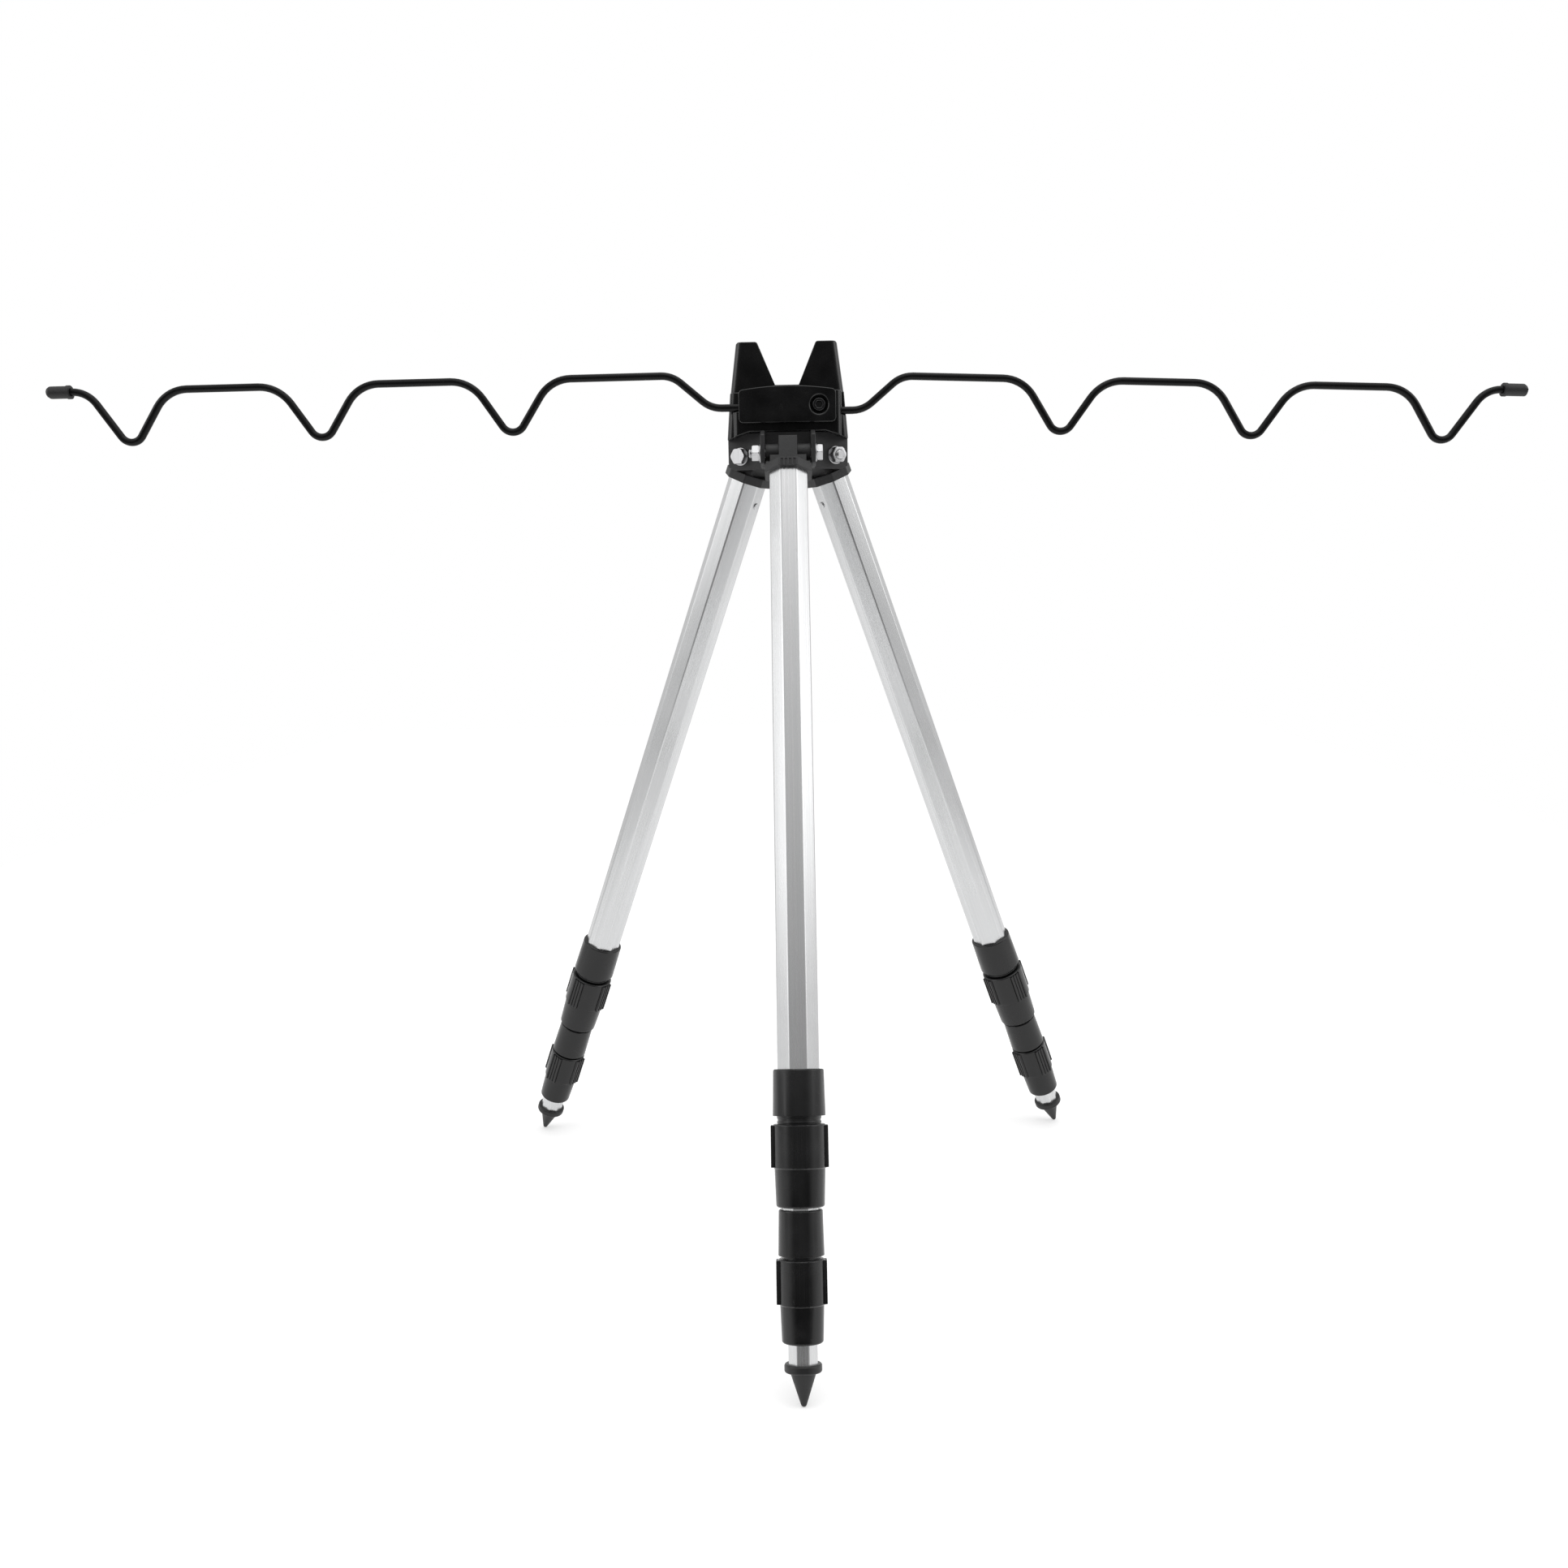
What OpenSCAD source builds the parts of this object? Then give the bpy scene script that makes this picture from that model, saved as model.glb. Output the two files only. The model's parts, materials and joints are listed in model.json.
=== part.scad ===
// Telescopic rod pod: a plastic head with a forked rest and two folding wire
// arms on three octagonal aluminium legs. Origin on the tripod axis at ground
// level, +Z up, +X along the right arm, the front leg towards -Y.

/* [Stance] */
// Angle of each leg from the vertical when spread
leg_tilt = 22.4; // [18:0.1:26]
// Distance from the tripod axis to each leg's hinge
pivot_r = 26.8; // [26:0.1:33]

/* [Leg tubes] */
// Upper tube across its flats
upper_af = 25; // [24:0.1:28]
// Wall of all three tubes
tube_wall = 1.5; // [1:0.1:1.8]
// Wall of the plastic guides between the tubes
guide_wall = 0.6; // [0.5:0.05:0.9]
// Bare length of the upper tube
upper_show = 383.6; // [300:0.1:420]
// Bare length of the inner tube above the foot
foot_show = 10.9; // [6:0.1:20]
// Gap between the two locks of a closed leg
lock_gap = 1.3; // [1:0.1:6]
// Length of the guides
guide_len = 20; // [12:1:30]
// Distance that the middle and inner tubes stop short of what is above them
tube_stop = 6; // [3:0.5:12]

/* [Twist locks] */
// Length of the collar on the upper tube
upper_collar_len = 27; // [22:0.5:32]
// Length of the collar on the middle tube
lower_collar_len = 25.5; // [22:0.5:30]
// Depth of the tube's socket in its collar
socket_len = 18; // [12:0.5:20]
// Collar wall over the tube's corners
collar_wall = 1.6; // [1.2:0.1:2.4]
// How much wider a collar is at its lower end, on the radius
collar_flare = 0.5; // [0:0.1:1]
// Height of the ribbed part of a nut
nut_len = 25.5; // [22:0.5:30]
// Height of the upper nut's plain sleeve below its ribs
upper_sleeve_len = 21.5; // [18:0.1:26]
// Height of the lower nut's plain sleeve below its ribs
lower_sleeve_len = 20.2; // [18:0.1:26]
// Gap between the upper nut and its collar
upper_nut_open = 4.6; // [1:0.1:5]
// Gap between the lower nut and its collar
lower_nut_open = 1.6; // [1:0.1:5]
// Gap that is left when a nut is tight
nut_tight_gap = 0.4; // [0.3:0.1:0.8]
// Length of thread inside the nut
thread_len = 14; // [10:0.5:16]
// Wall of the threaded neck
neck_wall = 1.6; // [1.4:0.1:2.2]
// Wall of the nut around the thread
nut_wall = 2.5; // [2.2:0.1:3.5]
// Height of the ribbed pads on the nut
pad_h = 1.2; // [0.6:0.1:1.8]
// Width of each ribbed pad
pad_w = 9; // [6:0.5:11]
// Ribs on each pad
pad_ribs = 4; // [3:1:5]
// Wall of the sleeve's lower end
sleeve_wall = 1.9; // [1.5:0.1:2.4]
// Height of the lip that holds the collet
lip_h = 3; // [2:0.5:5]
// Wall of the collet over the tube's corners
collet_wall = 0.65; // [0.5:0.05:0.9]

/* [Feet] */
// Radius of the foot's flange
foot_r = 10.8; // [10.5:0.1:14]
// Height of the foot's flange
foot_flange_h = 4.8; // [4:0.1:8]
// Height of the spike
spike_h = 18.4; // [14:0.1:30]
// Radius at the top of the spike
spike_r = 7.6; // [6:0.1:9]
// Radius of the spike's tip
tip_r = 1.8; // [1.2:0.1:2.5]
// Length of the foot's plug in the tube
foot_plug_len = 24; // [15:1:40]

/* [Leg hinge] */
// Width of the slot for a leg's hinge
clevis_slot = 30.6; // [28:0.1:34]
// Thickness of each ear
ear_t = 2.9; // [2.5:0.1:4]
// Length of an ear past the hinge
ear_reach = 10.2; // [8:0.1:12]
// Depth of the ears below the hinge
ear_drop = 9.2; // [8.5:0.1:9.6]
// Depth of the skirts' lip in front of the ears
skirt_lip = 1.2; // [0:0.1:2]
// Height of the base above the hinge
base_top = 15.2; // [15:0.1:18]
// Height of the ears' outer end above the hinge
ear_end_top = 11.2; // [8:0.1:13]
// Length of the slope on top of the ears
ear_slope = 14.7; // [8:0.1:17]
// Distance from the axis to the back of the slots
core_r = 14.5; // [13.5:0.1:15]
// Radius of the leg's hinge barrel
barrel_r = 6; // [5:0.1:8]
// Width of the tongue around the barrel
tongue_w = 12.4; // [10:0.1:16]
// Height of the tongue above the hinge, and half its depth
tongue_r = 8.6; // [8.5:0.1:10]
// Distance from the hinge down to the plug's flange
flange_drop = 10.4; // [9.9:0.1:11]
// Height of the plug's flange
flange_h = 6; // [4:0.1:8]
// Plug's flange across its flats
flange_af = 31; // [30.5:0.1:34]
// Length of the plug in the tube
plug_len = 28; // [20:1:40]
// Radius of the hinge bolts and clamp screws
bolt_r = 3; // [2.5:0.1:3.2]
// Nuts and bolt heads across their flats
hex_af = 10; // [9:0.5:11]
// Height of the bolt heads
bolt_head_h = 4; // [3:0.1:5]
// Height of the hinge nuts
nut_h = 5; // [4:0.1:6]
// Washer thickness
washer_t = 0.8; // [0.6:0.1:1.2]
// Washer radius
washer_r = 6; // [5.8:0.1:7]
// Radius of the rivet that holds a tube to its plug
rivet_r = 1.5; // [1:0.1:2]
// Distance from the plug's flange down to the rivet
rivet_drop = 14; // [8:0.5:18]

/* [Fork] */
// Half width of the fork body at its foot
fork_half_foot = 41; // [40:0.1:44]
// Half width of the fork body at the shoulder
fork_half_shoulder = 38.5; // [38:0.1:42]
// Half width over the horns' tops
fork_half_top = 34; // [32:0.1:38]
// Height of the horns' tops above the hinge
horn_top = 74.9; // [66:0.1:84]
// Height of the rest's floor above the hinge
rest_floor = 46.6; // [45:0.1:50]
// Half width of the rest's floor
rest_half = 8; // [6:0.1:11]
// Half width of the rest at the horns' tops
rest_half_top = 19.9; // [16:0.1:22]
// Back of the fork body, from the tripod axis
fork_back = 15; // [13:0.1:18]
// Front of the horns, from the tripod axis
horn_front = 4; // [3:0.1:6]
// Rounding of the fork's upright edges
fork_round = 4.5; // [3:0.1:6]
// Rounding of the horns' tops
horn_round = 2.2; // [1:0.1:4]
// Half width of the front jaw
jaw_half = 36.4; // [34:0.1:38]
// Height of the jaw's top above the hinge
jaw_top = 41.5; // [38.5:0.1:43]
// Rounding of the jaw's upright edges
jaw_round = 4; // [2:0.1:5]
// Half width of the clamp plates
plate_half = 32.5; // [31:0.1:34]
// Lower edge of the clamp plates above the hinge
plate_low = 20.4; // [18:0.1:21]
// Upper corners of the clamp plates above the hinge
plate_high = 41.6; // [39:0.1:42]
// Rise of the plates' upper edge at its middle
plate_arch = 2.7; // [1:0.1:4]
// Thickness of the clamp plates
plate_t = 4.4; // [4.2:0.1:6]
// Corner rounding of the clamp plates
plate_round = 3; // [1:0.1:4]
// Distance from the axis to each clamp screw
screw_x = 21.2; // [20:0.1:22]
// Radius of the dished recess around a clamp screw
dish_r = 6.7; // [6.2:0.1:8]
// Depth of the dished recess
dish_depth = 2.9; // [2.7:0.1:3.2]
// Thickness of the clamp nuts
clamp_nut_h = 3.2; // [2.5:0.1:3.4]
// Radius of the brass insert for the head bolt
insert_r = 4.4; // [4.2:0.1:6]
// Length of the brass insert
insert_len = 12; // [8:0.5:16]

/* [Wire arms] */
// Wire radius
wire_r = 2.5; // [2:0.1:2.7]
// Height of the arms' eyes above the hinge
arm_h = 31.8; // [30:0.1:32]
// Radius of the flattened eye
eye_r = 7.5; // [6.5:0.1:8]
// Thickness of the flattened eye
eye_t = 5.6; // [5.5:0.1:6.5]
// Distance from the axis to the start of the first bend
arm_root = 44; // [43:0.5:50]
// Rise of the arm from its root to its first crest
arm_rise = 21.4; // [15:0.1:30]
// Slope of the rise
rise_angle = 40; // [30:1:60]
// Bend radius of the rise
rise_bend = 20; // [12:0.5:22]
// Distance from the axis to the first notch
first_notch = 185; // [180:0.5:220]
// Distance from notch to notch
notch_pitch = 129; // [115:0.5:150]
// Depth of a notch
notch_depth = 33.7; // [30:0.1:45]
// Slope of a notch's sides
notch_angle = 56.4; // [45:0.1:65]
// Bend radius at the crests
crest_bend = 25.5; // [15:0.5:30]
// Bend radius in the notches
notch_bend = 8.3; // [7.5:0.1:13]
// Bend radius of the last crest, beside the end cap
end_bend = 18.5; // [12:0.5:30]
// Drop of the left arm's wire below its eye
left_arm_drop = 0.7; // [0:0.1:4]
// Drop of the right arm's wire below its eye
right_arm_drop = 3; // [0:0.1:4]
// Droop of the left arm in degrees
left_droop = 0.45; // [0:0.05:4]
// Droop of the right arm in degrees
right_droop = 2.3; // [0:0.05:4]
// Radius of the end caps
cap_r = 4.1; // [3.8:0.1:6]
// Length of the end caps
cap_len = 16.3; // [14:0.1:26]

/* [Hidden] */
$fn = 64;
hull_fn = 32;
eps = 0.05;
run_clear = 0.05;
slide_clear = 0.1;
bore_clear = 0.35;
stop_clear = 0.12;
face_clear = 0.3;
big = 200;
notches = 3;
wire_lap = 0.3;
bend_thin = 0.02;
LEGS = ["front", "left", "right"];
AZIMUTH = [-90, 150, 30];

oct_half = 22.5;
function corner_r(af) = af / 2 / cos(oct_half);

inner_of_upper = upper_af - 2 * tube_wall;
middle_af = inner_of_upper - 2 * guide_wall;
inner_of_middle = middle_af - 2 * tube_wall;
inner_af = inner_of_middle - 2 * guide_wall;

// Places along a leg, counted down from its hinge
tube_top = flange_drop + flange_h;
upper_collar_top = tube_top + upper_show;
upper_collar_low = upper_collar_top + upper_collar_len;
upper_nut_top = upper_collar_low + upper_nut_open;
upper_nut_low = upper_nut_top + nut_len + upper_sleeve_len;
lower_collar_top = upper_nut_low + lock_gap;
lower_collar_low = lower_collar_top + lower_collar_len;
lower_nut_top = lower_collar_low + lower_nut_open;
lower_nut_low = lower_nut_top + nut_len + lower_sleeve_len;
foot_top = lower_nut_low + foot_show;
tip_at = foot_top + foot_flange_h + spike_h;
middle_top = tube_top + plug_len + tube_stop;
inner_top = middle_top + guide_len + tube_stop;

// Height of the hinges over the ground that the spikes stand on
pivot_z = (tip_at - tip_r) * cos(leg_tilt) + tip_r;

clevis_w = clevis_slot + 2 * ear_t;
ear_end = pivot_r + ear_reach;
barrel_w = clevis_slot - 2 * face_clear;

// Layers of the head, from front to back
body_front = -horn_front - eye_t - 2 * slide_clear;
jaw_front = body_front - eye_t - 2 * slide_clear;
plate_front = jaw_front - plate_t;
right_arm_y = (body_front - horn_front) / 2;
left_arm_y = (jaw_front + body_front) / 2;
mid_y = (jaw_front + fork_back) / 2;
shoulder = rest_floor - face_clear;
eye_room = eye_r + face_clear;
arm_room = wire_r + face_clear;
screw_head_r = bolt_r + 1.2;
screw_head_h = dish_depth - face_clear;
key_l = 22;
key_w = 9;
key_h = 3;

LEG_PIECES = ["leg_plug", "upper_tube", "tube_rivet", "upper_collar", "upper_collet",
    "upper_nut", "middle_guide", "middle_tube", "middle_collar", "lower_collet",
    "lower_nut", "inner_guide", "inner_tube", "foot_spike"];

// Shared shapes

// Puts its children in the head's frame, at the height of the hinges
module at_head() { translate([0, 0, pivot_z]) children(); }

// Puts its children at a leg's hinge, with +X outwards and +Y along the hinge bolt
module at_hinge(i) { at_head() rotate(AZIMUTH[i]) translate([pivot_r, 0, 0]) children(); }

// Puts its children in a leg's own frame, with +Z up along the leg
module at_leg(i) { at_hinge(i) rotate([0, -leg_tilt, 0]) children(); }

// Puts its children on a leg's axis at a distance below the hinge
module down(s) { translate([0, 0, -s]) children(); }

// Octagonal bar with flats on +X and +Y, hanging down from z = 0
module oct_bar(af, len) { translate([0, 0, -len]) rotate(oct_half) cylinder(r = corner_r(af), h = len, $fn = 8); }

// Octagonal tube hanging down from z = 0
module oct_tube(af, bore_af, len) {
    difference() {
        oct_bar(af, len);
        translate([0, 0, eps]) oct_bar(bore_af, len + 2 * eps);
    }
}

// Round bar along +Y through the origin, from y0 to y1
module y_bar(r, y0, y1) { translate([0, y0, 0]) rotate([-90, 0, 0]) cylinder(r = r, h = y1 - y0); }

// Hexagonal bar along +Y, from y0 to y1
module y_hex(af, y0, y1) { translate([0, y0, 0]) rotate([-90, 0, 0]) cylinder(r = af / 2 / cos(30), h = y1 - y0, $fn = 6); }

// Prism of an upright outline, from y0 at the front to y1 at the back
module upright(y0, y1) { translate([0, y1, 0]) rotate([90, 0, 0]) linear_extrude(y1 - y0) children(); }

// Flat slab with rounded upright edges
module round_slab(half, y0, y1, r, z, h) {
    translate([0, 0, z]) linear_extrude(h) hull() {
        for (x = [-half + r, half - r], y = [y0 + r, y1 - r]) translate([x, y]) circle(r, $fn = hull_fn);
    }
}

// Head

// Plan of the three clevises, joined around the axis
module base_plan() { for (a = AZIMUTH) rotate(a) translate([-pivot_r / 5, -clevis_w / 2]) square([ear_end + pivot_r / 5, clevis_w]); }

// What a clevis leaves out at its ears' ends: the slope on top, and below it the
// stop that the leg's flange meets
module ear_ends() {
    stop_x = pivot_r + flange_drop * sin(leg_tilt);
    stop_z = stop_clear - flange_drop * cos(leg_tilt);
    slope = tan(leg_tilt);
    beyond = ear_end + 1;
    steep = (base_top - ear_end_top) / ear_slope;
    upright(-clevis_w / 2 - 1, clevis_w / 2 + 1) {
        polygon([[stop_x + (-ear_drop - 1 - stop_z) / slope, -ear_drop - 1], [beyond, -ear_drop - 1],
            [beyond, stop_z + (beyond - stop_x) * slope]]);
        polygon([[ear_end - ear_slope - 1 / steep, base_top + 1], [beyond, ear_end_top - steep], [beyond, base_top + 1]]);
    }
}

module leg_base() {
    color("dimgray") at_head() {
        difference() {
            union() {
                translate([0, 0, -ear_drop]) linear_extrude(ear_drop + base_top) base_plan();
                translate([-key_l / 2, -key_w / 2, base_top - eps]) cube([key_l, key_w, key_h + eps]);
            }
            for (a = AZIMUTH) rotate(a) {
                ear_ends();
                translate([core_r, -clevis_slot / 2, -big / 2]) cube([big, clevis_slot, big]);
                translate([pivot_r, 0, 0]) y_bar(bolt_r + slide_clear, -clevis_w, clevis_w);
            }
            cylinder(r = bolt_r + slide_clear, h = big, center = true);
            translate([0, 0, -ear_drop - eps]) cylinder(r = washer_r + slide_clear, h = bolt_head_h + eps);
        }
    }
}

module hinge_bolts() {
    head_at = clevis_w / 2 + washer_t;
    color("silver") for (i = [0:2]) at_hinge(i) {
        y_bar(bolt_r, -head_at - nut_h - 2, head_at + eps);
        y_hex(hex_af, head_at, head_at + bolt_head_h);
    }
}

module hinge_nuts() {
    seat = clevis_w / 2 + washer_t;
    color("silver") for (i = [0:2]) at_hinge(i) difference() {
        y_hex(hex_af, -seat - nut_h, -seat);
        y_bar(bolt_r + run_clear, -clevis_w, 0);
    }
}

module hinge_washers() {
    color("gainsboro") for (i = [0:2], side = [0, 1]) at_hinge(i) mirror([0, side, 0]) difference() {
        y_bar(washer_r, clevis_w / 2, clevis_w / 2 + washer_t);
        y_bar(bolt_r + slide_clear, 0, clevis_w);
    }
}

module head_bolt() {
    color("silver") at_head() translate([0, 0, -ear_drop]) {
        cylinder(r = hex_af / 2 / cos(30), h = bolt_head_h, $fn = 6);
        cylinder(r = bolt_r, h = ear_drop + base_top + insert_len - 1);
    }
}

module head_insert() {
    color("goldenrod") at_head() translate([0, 0, base_top + key_h + face_clear]) difference() {
        cylinder(r = insert_r, h = insert_len - key_h);
        translate([0, 0, -eps]) cylinder(r = bolt_r + run_clear, h = big);
    }
}

// Room for the eye of an arm and for its root, at a drop below the eye, to swing up
module arm_pocket(y0, y1, drop) {
    translate([screw_x, 0, arm_h]) y_bar(eye_room, y0, y1);
    translate([screw_x - arm_room, y0, arm_h - drop - wire_r - stop_clear]) cube([big, y1 - y0, big]);
}

// Room of a skirt on the right, at a height over the slope of the ears
module skirt_room(lift) {
    start = (ear_end - ear_slope) * cos(AZIMUTH[2]) + clevis_w / 2 * sin(AZIMUTH[2]);
    stop = ear_end * cos(AZIMUTH[2]) + clevis_w / 2 * sin(AZIMUTH[2]);
    steep = (base_top - ear_end_top) / (stop - start);
    out = stop + big / 4;
    upright(-big, big) polygon([[start + (lift - 1) / steep, base_top + 1],
        [out, base_top + lift - steep * (out - start)], [out, base_top + 1]]);
}

// What the base leaves free below the fork body and the jaw: a flat seat, and on
// each side a skirt that follows the slope of the ears, keeps clear of the slot and
// hangs down a little in front of the ear
module base_seat() {
    difference() {
        translate([-big / 2, -big / 2, -big / 2]) cube([big, big, big / 2 + base_top]);
        for (side = [0, 1]) mirror([side, 0, 0]) {
            difference() {
                skirt_room(face_clear);
                rotate(AZIMUTH[2]) translate([0, -clevis_slot / 2, -big]) cube([big, clevis_slot, 2 * big]);
            }
            intersection() {
                skirt_room(face_clear - skirt_lip);
                rotate(AZIMUTH[2]) translate([0, -big - clevis_w / 2 - face_clear, -big]) cube([big, big, 2 * big]);
            }
        }
    }
}

// Upright outline of the horns, with the rest between them
module horn_outline() {
    wide = fork_half_shoulder + slide_clear;
    top = fork_half_top + slide_clear;
    offset(horn_round, $fn = hull_fn) offset(-horn_round) difference() {
        polygon([[-wide - 5, 0], [wide + 5, 0], [wide, jaw_top - 1], [top, horn_top], [-top, horn_top], [-wide, jaw_top - 1]]);
        polygon([[-rest_half, rest_floor], [rest_half, rest_floor], [rest_half_top, horn_top], [rest_half_top, big],
            [-rest_half_top, big], [-rest_half_top, horn_top]]);
    }
}

module fork_body() {
    color("#1a1a1a") at_head() difference() {
        union() {
            hull() {
                round_slab(fork_half_foot, body_front, fork_back, fork_round, ear_end_top - skirt_lip, eps);
                round_slab(fork_half_shoulder, body_front, fork_back, fork_round, jaw_top - eps, eps);
            }
            intersection() {
                hull() {
                    round_slab(fork_half_shoulder, -horn_front, fork_back, fork_round, jaw_top - 1, eps);
                    round_slab(fork_half_top, -horn_front, fork_back, fork_round, horn_top - eps, eps);
                }
                upright(-big, big) horn_outline();
            }
        }
        base_seat();
        arm_pocket(body_front - eps, -horn_front, right_arm_drop);
        for (side = [-1, 1]) translate([side * screw_x, 0, arm_h]) y_bar(bolt_r + slide_clear, -big, big);
        translate([-key_l / 2 - slide_clear, -key_w / 2 - slide_clear, base_top - 1])
            cube([key_l + 2 * slide_clear, key_w + 2 * slide_clear, key_h + 1 + face_clear]);
        translate([0, 0, base_top]) cylinder(r = bolt_r + slide_clear, h = insert_len + 2);
        translate([0, 0, base_top]) cylinder(r = insert_r + run_clear, h = insert_len + face_clear + run_clear);
    }
}

module front_jaw() {
    color("#202020") at_head() difference() {
        translate([0, 0, ear_end_top - skirt_lip]) linear_extrude(jaw_top - ear_end_top + skirt_lip) {
            translate([-jaw_half, jaw_front + jaw_round]) square([2 * jaw_half, body_front - jaw_front - jaw_round]);
            translate([-jaw_half + jaw_round, jaw_front]) square([2 * (jaw_half - jaw_round), jaw_round + eps]);
            for (side = [-1, 1]) intersection() {
                translate([side * (jaw_half - jaw_round), jaw_front + jaw_round]) circle(jaw_round);
                translate([-big, jaw_front]) square([2 * big, body_front - jaw_front]);
            }
        }
        base_seat();
        mirror([1, 0, 0]) arm_pocket(jaw_front - eps, body_front + eps, left_arm_drop);
        translate([screw_x, 0, arm_h]) y_bar(bolt_r + slide_clear, -big, big);
    }
}

// Clamp plate as it lies in front: a dished screw hole on the right and a blind
// seat for the other screw's nut on the left
module clamp_plate() {
    arch_r = (pow(plate_half, 2) + pow(plate_arch, 2)) / (2 * plate_arch);
    color("#161616") at_head() difference() {
        upright(plate_front, jaw_front) offset(plate_round, $fn = hull_fn) offset(-plate_round) intersection() {
            translate([-plate_half, plate_low]) square([2 * plate_half, big]);
            translate([0, plate_high + plate_arch - arch_r]) circle(arch_r, $fn = 360);
        }
        translate([screw_x, 0, arm_h]) {
            y_bar(bolt_r + slide_clear, -big, big);
            translate([0, plate_front - eps, 0]) rotate([-90, 0, 0])
                cylinder(r1 = dish_r, r2 = screw_head_r + slide_clear, h = dish_depth + eps);
        }
        translate([-screw_x, 0, arm_h]) y_hex(hex_af + 2 * slide_clear, jaw_front - clamp_nut_h - slide_clear, jaw_front + eps);
    }
}

// Turns what lies at the front of the head to the back
module turned_to_back() { translate([0, mid_y, 0]) rotate(180) translate([0, -mid_y, 0]) children(); }

module front_clamp_plate() { clamp_plate(); }
module rear_clamp_plate() { turned_to_back() clamp_plate(); }

module clamp_screw() {
    seat = plate_front + dish_depth;
    tip = fork_back + clamp_nut_h - slide_clear;
    at_head() translate([screw_x, 0, arm_h]) difference() {
        union() {
            y_bar(screw_head_r, seat - screw_head_h, seat);
            y_bar(bolt_r, seat - eps, tip);
        }
        y_hex(screw_head_r, seat - big, seat - face_clear);
    }
}

module clamp_screws() {
    color("#303030") {
        clamp_screw();
        turned_to_back() clamp_screw();
    }
}

module clamp_nut() {
    at_head() translate([screw_x, 0, arm_h]) difference() {
        y_hex(hex_af, fork_back, fork_back + clamp_nut_h);
        y_bar(bolt_r + run_clear, 0, big);
    }
}

module clamp_nuts() {
    color("silver") {
        clamp_nut();
        turned_to_back() clamp_nut();
    }
}

// Wire arms

// Straight side of a notch, between its bottom bend and a crest of a given radius
function notch_side(crest) = (notch_depth - (crest + notch_bend) * (1 - cos(notch_angle))) / sin(notch_angle);
notch_half = (crest_bend + notch_bend) * sin(notch_angle) + notch_side(crest_bend) * cos(notch_angle);
rise_side = (arm_rise - 2 * rise_bend * (1 - cos(rise_angle))) / sin(rise_angle);
rise_run = 2 * rise_bend * sin(rise_angle) + rise_side * cos(rise_angle);
first_crest = first_notch - notch_half - arm_root - rise_run;

// Bends and straights of an arm from its root out: [length] is a straight and
// [radius, angle] a bend, upwards when the angle is positive
function arm_bends(droop) = concat(
    [[rise_bend, rise_angle], [rise_side], [rise_bend, -rise_angle - droop], [first_crest]],
    [for (k = [1:notches], crest = [k < notches ? crest_bend : end_bend], bend = [
        [crest_bend, -notch_angle], [notch_side(crest_bend)], [notch_bend, 2 * notch_angle], [notch_side(crest)],
        [crest, -notch_angle], [k < notches ? notch_pitch - 2 * notch_half : cap_len]]) bend]);

// Carries its children to the end of a bend or straight
module past(bend) {
    if (len(bend) == 1) translate([bend[0], 0, 0]) children();
    else translate([bend[0] * abs(sin(bend[1])), 0, sign(bend[1]) * bend[0] * (1 - cos(bend[1]))])
        rotate([0, -bend[1], 0]) children();
}

// Straight of round wire along +X, lapped a little over the bends at its ends
module wire_straight(len) { translate([-wire_lap, 0, 0]) rotate([0, 90, 0]) cylinder(r = wire_r, h = len + 2 * wire_lap); }

// One bend or straight of round wire, starting at the origin along +X; the wire
// is drawn slightly thinner in a bend
module wire_piece(bend) {
    if (len(bend) == 1) wire_straight(bend[0]);
    else mirror([0, 0, bend[1] < 0 ? 1 : 0]) translate([0, 0, bend[0]]) rotate([90, 0, 0]) rotate(-90)
        rotate_extrude(angle = abs(bend[1])) translate([bend[0], 0]) circle(wire_r - bend_thin);
}

module wire_run(bends, k = 0) {
    wire_piece(bends[k]);
    if (k + 1 < len(bends)) past(bends[k]) wire_run(bends, k + 1);
}

// Carries its children to the outer end of the wire
module wire_end(bends, k = 0) {
    if (k < len(bends)) past(bends[k]) wire_end(bends, k + 1) children();
    else children();
}

module arm_wire(droop, drop) {
    difference() {
        union() {
            y_bar(eye_r, -eye_t / 2, eye_t / 2);
            translate([bolt_r + 1, 0, -drop]) wire_straight(arm_root - screw_x - bolt_r - 1);
            translate([arm_root - screw_x, 0, -drop]) wire_run(arm_bends(droop));
        }
        y_bar(bolt_r + run_clear, -big, big);
    }
}

// Soft cap on the wire's end, with a bead around its mouth
module arm_cap(droop, drop) {
    mouth = cap_len * 0.94;
    bead = 0.4;
    translate([arm_root - screw_x, 0, -drop]) wire_end(arm_bends(droop)) translate([-mouth, 0, 0]) rotate([0, 90, 0])
        difference() {
            rotate_extrude() {
                square([cap_r, cap_len - 1]);
                square([cap_r + bead, 2.4]);
                square([cap_r - 1, cap_len]);
            }
            translate([0, 0, -eps]) cylinder(r = wire_r + run_clear, h = mouth + wire_lap + slide_clear + eps);
        }
}

module at_right_eye() { at_head() translate([screw_x, right_arm_y, arm_h]) children(); }
module at_left_eye() { at_head() translate([-screw_x, left_arm_y, arm_h]) mirror([1, 0, 0]) children(); }

module left_arm_wire() { color("#111111") at_left_eye() arm_wire(left_droop, left_arm_drop); }
module left_arm_cap() { color("#1c1c1c") at_left_eye() arm_cap(left_droop, left_arm_drop); }
module right_arm_wire() { color("#111111") at_right_eye() arm_wire(right_droop, right_arm_drop); }
module right_arm_cap() { color("#1c1c1c") at_right_eye() arm_cap(right_droop, right_arm_drop); }

// Legs

module rivet_bar(r, x0, x1) { down(tube_top + rivet_drop) rotate([0, -90, 0]) translate([0, 0, x0]) cylinder(r = r, h = x1 - x0); }

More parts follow.
